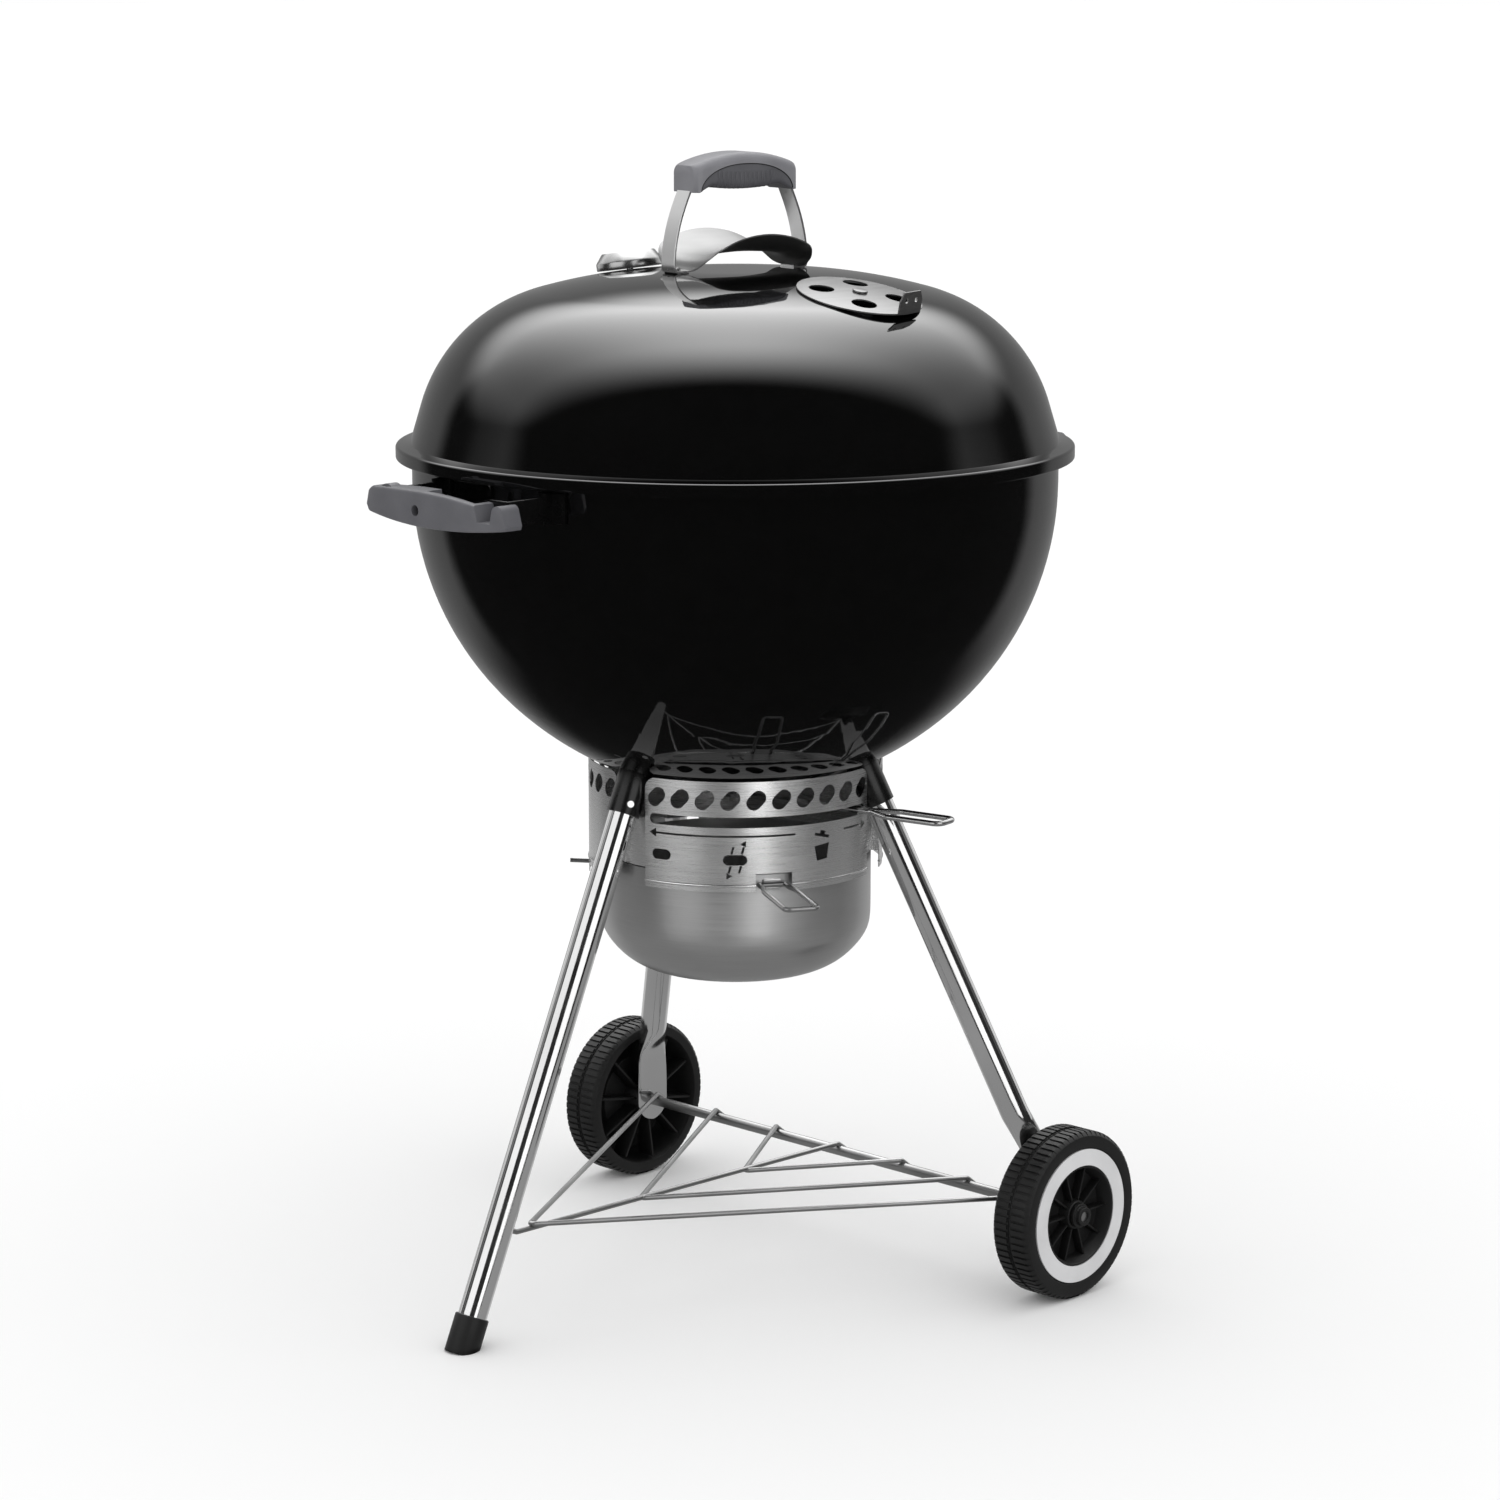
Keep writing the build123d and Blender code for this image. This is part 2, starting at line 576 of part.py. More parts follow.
def round_grate(z, outer, rod_r, pitch, rim_r, cross):
    """Parallel rods welded to a round rim and to cross rods."""
    rim = outer - rim_r
    with BuildPart() as grate:
        with BuildSketch(Plane.XZ):
            with Locations((rim, z)):
                Circle(rim_r)
        revolve(axis=Axis.Z)
        for k in range(int((outer - 3 * rim_r) / pitch)):
            y = pitch * (k + 0.5)
            x = sqrt(rim ** 2 - y ** 2)
            for s in (1, -1):
                add(bar((-x, s * y, z + rod_r * 0.7), (x, s * y, z + rod_r * 0.7), rod_r))
        for x in cross:
            y = sqrt(rim ** 2 - x ** 2)
            add(bar((x, -y, z - rod_r * 0.5), (x, y, z - rod_r * 0.5), rod_r))
    return grate.part


with BuildPart() as cooking_grate:
    add(round_grate(UPPER_TAB_Z + 2 + 3.3, 272.0, 2.2, 16.0, 3.2, (-110.0, 110.0)))
cooking_grate.part.label = "cooking_grate"

with BuildPart() as charcoal_grate:
    add(round_grate(LOWER_TAB_Z + 2 + 4.1, 236.0, 3.2, 24.0, 4.0, (-90.0, 90.0)))
charcoal_grate.part.label = "charcoal_grate"

# ---------------------------------------------------------------- side handles
GRIP_Y = 354.0


def side_grip_outline():
    """Front outline with the tool notch and the rounded tip at its right end."""
    with BuildSketch() as shape:
        with BuildLine():
            Polyline((-91, 717.4), (-95, 724), (-91.5, 735.6), (-86, 740))
            Spline((-86, 740), (-40, 741.4), (0, 740.5), (26, 738.2), (44.5, 735.6))
            Polyline((44.5, 735.6), (48.6, 721.8), (62.2, 721.6), (64, 731.4))
            ThreePointArc((64, 731.4), (69.9, 736.9), (75.7, 731.4))
            Polyline((75.7, 731.4), (79, 720), (77.5, 716.6))
            ThreePointArc((77.5, 716.6), (2, 711.2), (-91, 717.4))
        make_face()
    return shape.sketch


def grip_front(side):
    """Plane on a side handle's front face, local x to the right seen from outside."""
    return Plane(origin=(0, side * GRIP_Y, 0), x_dir=(-side, 0, 0), z_dir=(0, side, 0))


with BuildPart() as side_grips:
    for side in (-1, 1):
        with BuildSketch(grip_front(side)):
            add(side_grip_outline())
        extrude(amount=-24)
        # rounded boss on top, over the bracket's left arm
        with BuildSketch(grip_front(side).offset(-19)):
            with Locations((-69, 735)):
                Circle(8)
        extrude(amount=11)
    for side in (-1, 1):
        # bowed front face, and a hollow back between the ends
        with BuildSketch(Plane.XY.offset(700)):
            with Locations((0, side * (GRIP_Y - 15))):
                Rectangle(240, 80)
            with Locations((0, side * (GRIP_Y - 560))):
                Circle(560, mode=Mode.SUBTRACT)
        extrude(amount=60, mode=Mode.SUBTRACT)
        with BuildSketch(grip_front(side).offset(-8)) as back:
            with Locations((11, 726)):
                Rectangle(58, 60)
            fillet(back.vertices(), 5)
        extrude(amount=-20, mode=Mode.SUBTRACT)
        with BuildSketch(grip_front(side)):
            with Locations((-25.8, 725)):
                Circle(4.6)
        extrude(amount=-30, mode=Mode.SUBTRACT)
    fillet(side_grips.edges().filter_by(lambda e: abs(e.center().Y) > GRIP_Y - 7.5
                                        and e.length > 60), 2.5)
side_grips.part.label = "side_grips"

# Flat steel arms welded to the bowl, each with a foot screwed to the back of the grip.
# ARM_U is measured along the grip like its outline, FOOT_U is each foot's middle.
ARM_U, FOOT_U, SCREW_U = (-77.0, 61.0), (-67.25, 51.25), (-65.0, 47.0)
ARM_LOW, ARM_HIGH, ARM_T, FOOT_W = 718.0, 738.0, 3.0, 22.5
STRAP_BACK = GRIP_Y - 24


def arm_sketch(side, inner):
    """Arms and feet of one side handle seen from above, from |y| = inner outwards."""
    with BuildSketch() as shape:
        for arm_u, foot_u in zip(ARM_U, FOOT_U):
            with Locations((-side * arm_u, side * (STRAP_BACK + inner) / 2)):
                Rectangle(ARM_T, STRAP_BACK - inner)
            with Locations((-side * foot_u, side * (STRAP_BACK - ARM_T / 2))):
                Rectangle(FOOT_W, ARM_T)
    return shape.sketch


with BuildPart() as side_brackets:
    for side in (-1, 1):
        with BuildSketch(Plane.XY.offset(ARM_LOW)):
            add(arm_sketch(side, 260))
        extrude(amount=ARM_HIGH - ARM_LOW)
        for arm_u in ARM_U:
            with BuildSketch(Plane.XY.offset(ARM_LOW - 3)):
                with Locations((-side * arm_u, side * 279)):
                    Rectangle(26, 18)
            extrude(amount=ARM_HIGH - ARM_LOW + 6)
    # the welded flanges keep to a thin skin on the bowl
    with BuildSketch(Plane.XY.offset(700)):
        Circle(BOWL_R + 60)
        Circle(BOWL_R + 3, mode=Mode.SUBTRACT)
        for side in (-1, 1):
            add(arm_sketch(side, 260), mode=Mode.SUBTRACT)
    extrude(amount=60, mode=Mode.SUBTRACT)
    add(bowl_solid, mode=Mode.SUBTRACT)
side_brackets.part.label = "side_brackets"

with BuildPart() as side_handle_screws:
    for side in (-1, 1):
        for u in SCREW_U:
            x, y = -side * u, side * (STRAP_BACK - ARM_T)
            add(bar((x, y, 728), (x, y - side * 2.2, 728), 4.5))
side_handle_screws.part.label = "side_handle_screws"

# ---------------------------------------------------------------- lid


def lid_face(inset):
    """Filled half section of the lid above its flange, inset from the outer face."""
    (wx, wz), (kx, kz) = LID_WALL
    k = LID_ARC1_R
    a0 = degrees(asin((kz - LID_ARC1_C[1]) / k))
    a1 = degrees(asin((LID_KNEE[1] - LID_ARC1_C[1]) / k))
    r = k - inset
    p0, pm, p1 = (arc_end(LID_ARC1_C, r, a) for a in (a0, (a0 + a1) / 2, a1))
    crown = (LID_FLAT_R, LID_TOP_Z - LID_CROWN_R)
    rc = LID_CROWN_R - inset
    a2 = degrees(asin((LID_KNEE[1] - crown[1]) / LID_CROWN_R))
    q0, qm = arc_end(crown, rc, a2), arc_end(crown, rc, (a2 + 90) / 2)
    top = LID_TOP_Z - inset
    lift = inset * 1.04
    with BuildSketch() as shape:
        with BuildLine():
            Line((wx - lift, LID_RIM_Z - 12), p0)
            ThreePointArc(p0, pm, q0)
            ThreePointArc(q0, qm, (LID_FLAT_R, top))
            Polyline((LID_FLAT_R, top), (0, top), (0, LID_RIM_Z - 12),
                     (wx - lift, LID_RIM_Z - 12))
        make_face()
    return shape.sketch


damper_plane = on_crown(DAMPER_AZ, DAMPER_AT)
gauge_plane = on_crown(GAUGE_AZ, GAUGE_AT)
DAMPER_HOLES = [(33 * cos(radians(a)), 33 * sin(radians(a))) for a in (53, 143, 233, 323)]

BOLT_AT = 65.5
with BuildPart() as lid_handle_bolts:
    for az in (HANDLE_AZ, HANDLE_AZ + 180):
        with Locations(polar(BOLT_AT, az, 908.5)):
            Cylinder(6, 2.2)
        with Locations(polar(BOLT_AT, az, 904)):
            Cylinder(2.5, 9)
        with Locations(polar(BOLT_AT, az, 901.7)):
            Cylinder(6, 2.4)
lid_handle_bolts.part.label = "lid_handle_bolts"

with BuildPart() as lid_shell:
    with BuildSketch(Plane.XZ):
        add(lid_face(0))
    revolve(axis=Axis.Z)
    with BuildSketch(Plane.XZ):
        with BuildLine():
            Polyline((270, LID_SKIRT_Z), (LID_FLANGE_R, LID_SKIRT_Z), (LID_FLANGE_R, 752.6))
            ThreePointArc((LID_FLANGE_R, 752.6), (LID_FLANGE_R - 0.8, 754.2),
                          (LID_FLANGE_R - 2.4, 754.8))
            Polyline((LID_FLANGE_R - 2.4, 754.8), (LID_WALL[0][0] - 0.2, 756.4), (270, 756.4),
                     (270, LID_SKIRT_Z))
        make_face()
    revolve(axis=Axis.Z)
    # hollow out: inside of the dome, seat over the bowl's rim, inside of the skirt
    with BuildSketch(Plane.XZ):
        add(lid_face(SHEET))
    revolve(axis=Axis.Z, mode=Mode.SUBTRACT)
    with BuildSketch(Plane.XY.offset(LID_SKIRT_Z - 5)):
        Circle(LID_FLANGE_R - SHEET)
    extrude(amount=LID_RIM_Z - LID_SKIRT_Z + 5, mode=Mode.SUBTRACT)
    with BuildSketch(damper_plane.offset(-15)):
        with Locations(*DAMPER_HOLES):
            Circle(11)
        Circle(3)
    extrude(amount=30, mode=Mode.SUBTRACT)
    with BuildSketch(gauge_plane.offset(-15)):
        Circle(4)
    extrude(amount=30, mode=Mode.SUBTRACT)
    add(lid_handle_bolts.part, mode=Mode.SUBTRACT)
lid_shell.part.label = "lid_shell"

# Damper disc, dished to follow the crown, with a bent-up tab.
DISH_R, DISC_GAP, DISC_T = 560.0, 1.0, 1.2
damper_side = Plane(origin=damper_plane.origin, x_dir=damper_plane.x_dir,
                    z_dir=-damper_plane.y_dir)
damper_axis = Axis(damper_plane.origin, damper_plane.z_dir)


def dish(x, lift):
    return (x, lift - x * x / (2 * DISH_R))


with BuildPart() as damper_disc:
    g = DISC_GAP
    with BuildSketch(damper_side):
        with BuildLine():
            ThreePointArc(dish(3 + RUN, g), dish(27, g), dish(DAMPER_R, g))
            Line(dish(DAMPER_R, g), dish(DAMPER_R, g + DISC_T))
            ThreePointArc(dish(DAMPER_R, g + DISC_T), dish(27, g + DISC_T),
                          dish(3 + RUN, g + DISC_T))
            Line(dish(3 + RUN, g + DISC_T), dish(3 + RUN, g))
        make_face()
    revolve(axis=damper_axis)
    with BuildSketch(damper_plane.offset(-10)):
        with Locations(*DAMPER_HOLES):
            Circle(11)
    extrude(amount=20, mode=Mode.SUBTRACT)
    tab = Plane(origin=damper_plane.from_local_coords(polar(DAMPER_R - 1.0, 8, g - 2.0)),
                x_dir=damper_plane.from_local_coords(polar(1, 98)) - damper_plane.origin,
                z_dir=damper_plane.from_local_coords(polar(1, 8)) - damper_plane.origin)
    with BuildSketch(tab):
        with BuildLine():
            Polyline((-15, 0), (-15, 11), (-11, 19), (11, 19), (15, 11), (15, 0), (-15, 0))
        make_face()
        with Locations((-6.5, 11.5), (6.5, 11.5)):
            Circle(2, mode=Mode.SUBTRACT)
    extrude(amount=1.4)
damper_disc.part.label = "damper_disc"

with BuildPart() as damper_rivet:
    with BuildSketch(damper_plane.offset(-4)):
        Circle(3)
    extrude(amount=4 + DISC_GAP + DISC_T + 0.3)
    with BuildSketch(damper_plane.offset(0)):
        Circle(6)
    extrude(amount=DISC_GAP - 0.1)
    with BuildSketch(damper_plane.offset(DISC_GAP + DISC_T + 0.1)):
        Circle(6.5)
    extrude(amount=2)
    with BuildSketch(damper_plane.offset(-SHEET - 1.6)):
        Circle(6)
    extrude(amount=1.5)
damper_rivet.part.label = "damper_rivet"

# Thermometer
gauge_side = Plane(origin=gauge_plane.origin, x_dir=gauge_plane.x_dir, z_dir=-gauge_plane.y_dir)
gauge_axis = Axis(gauge_plane.origin, gauge_plane.z_dir)
G = GAUGE_R
with BuildPart() as gauge_bezel:
    with BuildSketch(gauge_side):
        with BuildLine():
            Polyline((4, 0.9), (G, 0.9), (G + 0.6, 1.6), (G + 0.6, 7.4), (G - 5.5, 15.6),
                     (G - 7.2, 15.6), (G - 7.2, 12.4), (G - 6, 12.4), (G - 6, 6.0), (4, 6.0),
                     (4, 0.9))
        make_face()
    revolve(axis=gauge_axis)
gauge_bezel.part.label = "gauge_bezel"
with BuildPart() as gauge_dial:
    with BuildSketch(gauge_plane.offset(6.0)):
        Circle(G - 6)
        Circle(1.6, mode=Mode.SUBTRACT)
    extrude(amount=0.8)
gauge_dial.part.label = "gauge_dial"
with BuildPart() as gauge_glass:
    with BuildSketch(gauge_plane.offset(10.9)):
        Circle(G - 6)
    extrude(amount=1.5)
gauge_glass.part.label = "gauge_glass"
with BuildPart() as gauge_pointer:
    with BuildSketch(gauge_plane.offset(8.0)):
        with BuildLine():
            Polyline((-6, -1.6), (12, -0.9), (18.5, 0), (12, 0.9), (-6, 1.6), (-6, -1.6))
        make_face()
        Circle(3)
        Circle(1.2 + RUN, mode=Mode.SUBTRACT)
    extrude(amount=0.8)
gauge_pointer.part.label = "gauge_pointer"
with BuildPart() as gauge_stem:
    with BuildSketch(gauge_plane.offset(-48)):
        Circle(3)
    extrude(amount=48.9 + 5)
    with BuildSketch(gauge_plane.offset(5.9)):
        Circle(1.2)
    extrude(amount=3.4)
    with BuildSketch(gauge_plane.offset(-SHEET - 5)):
        RegularPolygon(8, 6)
    extrude(amount=4.6)
    add(lid_shell.part, mode=Mode.SUBTRACT)
gauge_stem.part.label = "gauge_stem"

# ---------------------------------------------------------------- lid handle
handle_side = side_plane(HANDLE_AZ)
FOOT_S, FOOT_Z, STRAP_W, STRAP_T = 71.0, 903.6, 20.0, 2.0


def strap_line(sign):
    """Centre line of one strap leg in the handle's side view: flange, upright, end in grip."""
    return [(sign * 56, FOOT_Z + 2.2), (sign * FOOT_S, FOOT_Z + 0.8),
            (sign * (FOOT_S - 1.5), FOOT_Z + 22), (sign * 63.3, FOOT_Z + 48),
            (sign * 52.4, FOOT_Z + 74)]


with BuildPart() as lid_handle_strap:
    for sign in (-1, 1):
        f, k, u1, u2, u3 = strap_line(sign)
        with BuildSketch(handle_side) as strap:
            with BuildLine() as centre:
                l1 = Line(f, k)
                l2 = Spline(k, u1, u2, u3, tangents=((sign * 0.05, 1), (-sign * 0.42, 0.9)))
            trace(line_width=STRAP_T)
        extrude(amount=STRAP_W / 2, both=True)
    add(lid_shell.part, mode=Mode.SUBTRACT)
    add(lid_handle_bolts.part, mode=Mode.SUBTRACT)
lid_handle_strap.part.label = "lid_handle_strap"

GRIP_LOW, GRIP_SIDE, GRIP_TOP = 974.0, 997.0, 1007.6
half_l = GRIP_L / 2
with BuildPart() as lid_handle_grip:
    with BuildSketch(handle_side):
        with BuildLine():
            Polyline((-half_l + 6, GRIP_LOW), (-half_l, GRIP_LOW), (-half_l, GRIP_SIDE))
            ThreePointArc((-half_l, GRIP_SIDE), (0, GRIP_TOP), (half_l, GRIP_SIDE))
            Polyline((half_l, GRIP_SIDE), (half_l, GRIP_LOW), (half_l - 6, GRIP_LOW))
            ThreePointArc((half_l - 6, GRIP_LOW), (0, GRIP_LOW + 25), (-half_l + 6, GRIP_LOW))
        make_face()
    extrude(amount=GRIP_W / 2, both=True)
    fillet(lid_handle_grip.edges().filter_by(Axis.Z).filter_by(lambda e: e.length > 10), 5)
    top = lid_handle_grip.faces().filter_by(lambda f: f.area > 2000 and f.center().Z > 1000
                                            and f.normal_at(f.center()).Z > 0.9)
    fillet(top.edges(), 4)
    add(lid_handle_strap.part, mode=Mode.SUBTRACT)
lid_handle_grip.part.label = "lid_handle_grip"

with BuildPart() as lid_handle_insert:
    with BuildSketch(handle_side):
        with BuildLine():
            ThreePointArc((half_l - 6, GRIP_LOW), (0, GRIP_LOW + 25), (-half_l + 6, GRIP_LOW))
            Spline((-half_l + 6, GRIP_LOW), (-38, GRIP_LOW + 3.8), (-27, GRIP_LOW + 3.6),
                   (0, GRIP_LOW + 1.4), (27, GRIP_LOW + 3.6), (38, GRIP_LOW + 3.8),
                   (half_l - 6, GRIP_LOW))
        make_face()
    extrude(amount=GRIP_W / 2 - 0.4, both=True)
    for k in range(13):
        s = -27 + 4.5 * k
        with BuildSketch(handle_side):
            with Locations((s, GRIP_LOW + 1.2 + abs(s) * 0.07)):
                Circle(1.5)
        extrude(amount=GRIP_W / 2, both=True, mode=Mode.SUBTRACT)
    add(lid_handle_strap.part, mode=Mode.SUBTRACT)
lid_handle_insert.part.label = "lid_handle_insert"

# Heat shield: a thin saddle between the strap feet, its long edges curling up.
SHIELD_T = 1.2
SHIELD = ((-69, 906.22, 906.2, 11), (-61, 906.22, 906.2, 14), (-58.5, 908.6, 908.8, 25),
          (-55, 914.5, 917, 38),
          (-46, 918.0, 926.5, 47), (-25, 920.0, 934.5, 48.5), (0, 921.0, 937.5, 49))
stations = list(SHIELD) + [(-s, c, e, w) for s, c, e, w in reversed(SHIELD[:-1])]
cross_dir = Vector(*polar(1, HANDLE_AZ - 90))
hand_dir = Vector(*polar(1, HANDLE_AZ))
with BuildPart() as heat_shield:
    for s, centre_z, edge_z, w in stations:
        at = Plane(origin=hand_dir * s, x_dir=cross_dir, z_dir=-hand_dir)
        with BuildSketch(at):
            with BuildLine():
                t = SHIELD_T
                ThreePointArc((-w, edge_z), (0, centre_z), (w, edge_z))
                Line((w, edge_z), (w, edge_z + t))
                ThreePointArc((w, edge_z + t), (0, centre_z + t), (-w, edge_z + t))
                Line((-w, edge_z + t), (-w, edge_z))
            make_face()
    loft(ruled=True)
    add(lid_shell.part, mode=Mode.SUBTRACT)
    add(lid_handle_strap.part, mode=Mode.SUBTRACT)
    add(lid_handle_bolts.part, mode=Mode.SUBTRACT)
heat_shield.part.label = "heat_shield"

# Hook under the lid, for hanging it on the bowl's rim.
with BuildPart() as lid_hook:
    pts = [handle_side.from_local_coords(p) for p in ((-205, 852, 6), (-228, 838, 6),
           (-244, 800, 6), (-226, 790, 6))]
    add(wire(pts, 2.5, 7.0))
lid_hook.part.label = "lid_hook"

NODES = [
    bowl, damper_bushing, grate_tabs, leg_sockets, leg_buttons, front_leg, rear_legs, foot_cap,
    axle, axle_caps, axle_spacers, wheel_right, wheel_right_ring, wheel_left, wheel_left_ring,
    wire_shelf, ash_ring, ring_pins, ring_hangers, ash_bucket, bucket_hinge, bucket_handle,
    sweeper_blades, sweeper_shaft, sweeper_lever, cooking_grate, charcoal_grate, side_grips,
    side_brackets, side_handle_screws, lid_shell, damper_disc, damper_rivet, gauge_bezel,
    gauge_dial, gauge_glass, gauge_pointer, gauge_stem, lid_handle_strap, lid_handle_grip,
    lid_handle_insert, heat_shield, lid_handle_bolts, lid_hook,
]
for node in NODES:
    export_step(node.part, f"parts/{node.part.label}.step")
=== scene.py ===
"""Visual model of the kettle charcoal grill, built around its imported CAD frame."""

import json
from math import asin, atan2, cos, degrees, pi, radians, sin, sqrt

import bmesh
import bpy
from mathutils import Matrix, Vector

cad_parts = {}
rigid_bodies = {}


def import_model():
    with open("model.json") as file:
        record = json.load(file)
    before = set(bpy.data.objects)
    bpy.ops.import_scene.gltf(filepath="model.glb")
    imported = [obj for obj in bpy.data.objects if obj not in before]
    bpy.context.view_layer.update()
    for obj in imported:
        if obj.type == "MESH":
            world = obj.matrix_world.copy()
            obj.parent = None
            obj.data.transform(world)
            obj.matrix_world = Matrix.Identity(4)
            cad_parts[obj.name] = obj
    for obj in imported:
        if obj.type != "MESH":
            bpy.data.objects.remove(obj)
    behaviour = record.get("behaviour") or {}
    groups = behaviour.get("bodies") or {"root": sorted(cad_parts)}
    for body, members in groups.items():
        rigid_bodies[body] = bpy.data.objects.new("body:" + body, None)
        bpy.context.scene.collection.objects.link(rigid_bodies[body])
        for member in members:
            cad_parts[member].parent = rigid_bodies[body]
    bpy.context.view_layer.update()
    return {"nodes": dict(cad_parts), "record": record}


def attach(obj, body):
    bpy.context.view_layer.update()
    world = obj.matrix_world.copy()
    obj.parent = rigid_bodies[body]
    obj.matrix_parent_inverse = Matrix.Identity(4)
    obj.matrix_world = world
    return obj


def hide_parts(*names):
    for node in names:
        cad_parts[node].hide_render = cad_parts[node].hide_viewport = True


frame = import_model()
MM = 0.001

# Sizes shared with the CAD, in millimetres. The lid's crown is an arc of radius CROWN_R
# whose centre stands CROWN_OFF from the axis.
CROWN_TOP, CROWN_R, CROWN_OFF = 905.3, 488.74, 44.7
LID_SHEET = 1.6
TUBE_R = 12.7
WHEEL_X, PLATE_X = 273.0, 247.5
AXLE_Y, AXLE_Z = 138.0, 76.2
scene = bpy.context.scene

# ------------------------------------------------------------------ materials


def linear(srgb):
    """Linear value of an 8-bit sRGB grey or colour."""
    def one(v):
        v /= 255.0
        return v / 12.92 if v <= 0.04045 else ((v + 0.055) / 1.055) ** 2.4
    if isinstance(srgb, (int, float)):
        srgb = (srgb, srgb, srgb)
    return tuple(one(v) for v in srgb) + (1.0,)


class Surface:
    """A node material: one Principled shader with helpers for what varies over it."""

    def __init__(self, name, color, roughness, metallic=0.0, **sockets):
        self.mat = bpy.data.materials.new(name)
        self.mat.use_nodes = True
        self.tree = self.mat.node_tree
        self.nodes, self.links = self.tree.nodes, self.tree.links
        self.bsdf = self.nodes["Principled BSDF"]
        self.set("Base Color", color)
        self.set("Roughness", roughness)
        self.set("Metallic", metallic)
        for key, value in sockets.items():
            self.set(key.replace("_", " "), value)
        self.bump_out = None

    def set(self, socket, value):
        self.bsdf.inputs[socket].default_value = value

    def node(self, kind, **props):
        n = self.nodes.new(kind)
        for key, value in props.items():
            setattr(n, key, value)
        return n

    def link(self, a, b):
        self.links.new(a, b)

    def coords(self, scale=(1, 1, 1)):
        """Object coordinates in metres, scaled."""
        tc = self.node("ShaderNodeTexCoord")
        mp = self.node("ShaderNodeMapping")
        mp.inputs["Scale"].default_value = scale
        self.link(tc.outputs["Object"], mp.inputs["Vector"])
        return mp.outputs["Vector"]

    def round_coords(self, scale):
        """Cylindrical coordinates about the z axis: radius, angle, height, each scaled."""
        tc = self.node("ShaderNodeTexCoord")
        sep = self.node("ShaderNodeSeparateXYZ")
        self.link(tc.outputs["Object"], sep.inputs[0])
        flat = self.node("ShaderNodeCombineXYZ")
        self.link(sep.outputs["X"], flat.inputs["X"])
        self.link(sep.outputs["Y"], flat.inputs["Y"])
        length = self.node("ShaderNodeVectorMath", operation="LENGTH")
        self.link(flat.outputs[0], length.inputs[0])
        angle = self.math("ARCTAN2", sep.outputs["Y"], sep.outputs["X"])
        out = self.node("ShaderNodeCombineXYZ")
        for src, axis, k in ((length.outputs["Value"], "X", scale[0]), (angle, "Y", scale[1]),
                             (sep.outputs["Z"], "Z", scale[2])):
            self.link(self.math("MULTIPLY", src, k), out.inputs[axis])
        return out.outputs[0]

    def math(self, op, *values):
        n = self.node("ShaderNodeMath", operation=op)
        for i, v in enumerate(values):
            if isinstance(v, (int, float)):
                n.inputs[i].default_value = v
            else:
                self.link(v, n.inputs[i])
        return n.outputs[0]

    def noise(self, vector, scale, detail, rough=0.5):
        n = self.node("ShaderNodeTexNoise")
        n.inputs["Scale"].default_value = scale
        n.inputs["Detail"].default_value = detail
        n.inputs["Roughness"].default_value = rough
        self.link(vector, n.inputs["Vector"])
        return n.outputs["Fac"]

    def cells(self, vector, scale):
        n = self.node("ShaderNodeTexVoronoi", feature="F1")
        n.inputs["Scale"].default_value = scale
        self.link(vector, n.inputs["Vector"])
        return n.outputs["Distance"]

    def remap(self, value, low, high, to_low, to_high):
        n = self.node("ShaderNodeMapRange", clamp=True)
        for key, v in (("From Min", low), ("From Max", high), ("To Min", to_low),
                       ("To Max", to_high)):
            n.inputs[key].default_value = v
        self.link(value, n.inputs["Value"])
        return n.outputs["Result"]

    def ramp(self, value, *stops):
        n = self.node("ShaderNodeValToRGB")
        items = n.color_ramp.elements
        while len(items) < len(stops):
            items.new(0.5)
        for item, (at, color) in zip(items, stops):
            item.position, item.color = at, color
        self.link(value, n.inputs["Fac"])
        return n.outputs["Color"]

    def color(self, out):
        self.link(out, self.bsdf.inputs["Base Color"])
        return self

    def rough(self, out):
        self.link(out, self.bsdf.inputs["Roughness"])
        return self

    def bump(self, height, depth):
        """Add a layer of relief, its height times depth in metres."""
        n = self.node("ShaderNodeBump")
        n.inputs["Strength"].default_value = 1.0
        n.inputs["Distance"].default_value = depth
        self.link(height, n.inputs["Height"])
        if self.bump_out is not None:
            self.link(self.bump_out, n.inputs["Normal"])
        self.bump_out = n.outputs["Normal"]
        self.link(self.bump_out, self.bsdf.inputs["Normal"])
        return self


def enamel():
    """Black porcelain enamel: deep gloss, faint orange peel, a dusting of finer haze."""
    s = Surface("black_enamel", linear(4), 0.05, IOR=1.8)
    v = s.coords()
    s.rough(s.remap(s.noise(v, 14, 4), 0.3, 0.7, 0.03, 0.055))
    s.color(s.ramp(s.noise(v, 60, 3), (0.3, linear(3)), (0.75, linear(5))))
    s.bump(s.noise(v, 210, 2), 0.000008)
    return s


def chrome():
    """Chromed tube with a little haze and fine draw lines."""
    s = Surface("chrome_plate", linear(225), 0.09, 1.0)
    v = s.coords()
    s.rough(s.remap(s.noise(v, 40, 5), 0.3, 0.75, 0.05, 0.15))
    s.color(s.ramp(s.noise(v, 9, 2), (0.3, linear(214)), (0.7, linear(233))))
    s.bump(s.noise(s.coords((500, 500, 12)), 1, 2), 0.000006)
    return s


def brushed(name, low, high, rough, scale):
    """Metal brushed around an axis."""
    s = Surface(name, linear(high), rough, 1.0)
    v = s.round_coords(scale)
    lines = s.noise(v, 1.0, 4, 0.7)
    s.color(s.ramp(lines, (0.25, linear(low)), (0.75, linear(high))))
    s.rough(s.remap(lines, 0.25, 0.75, rough - 0.06, rough + 0.07))
    s.bump(lines, 0.000006)
    return s


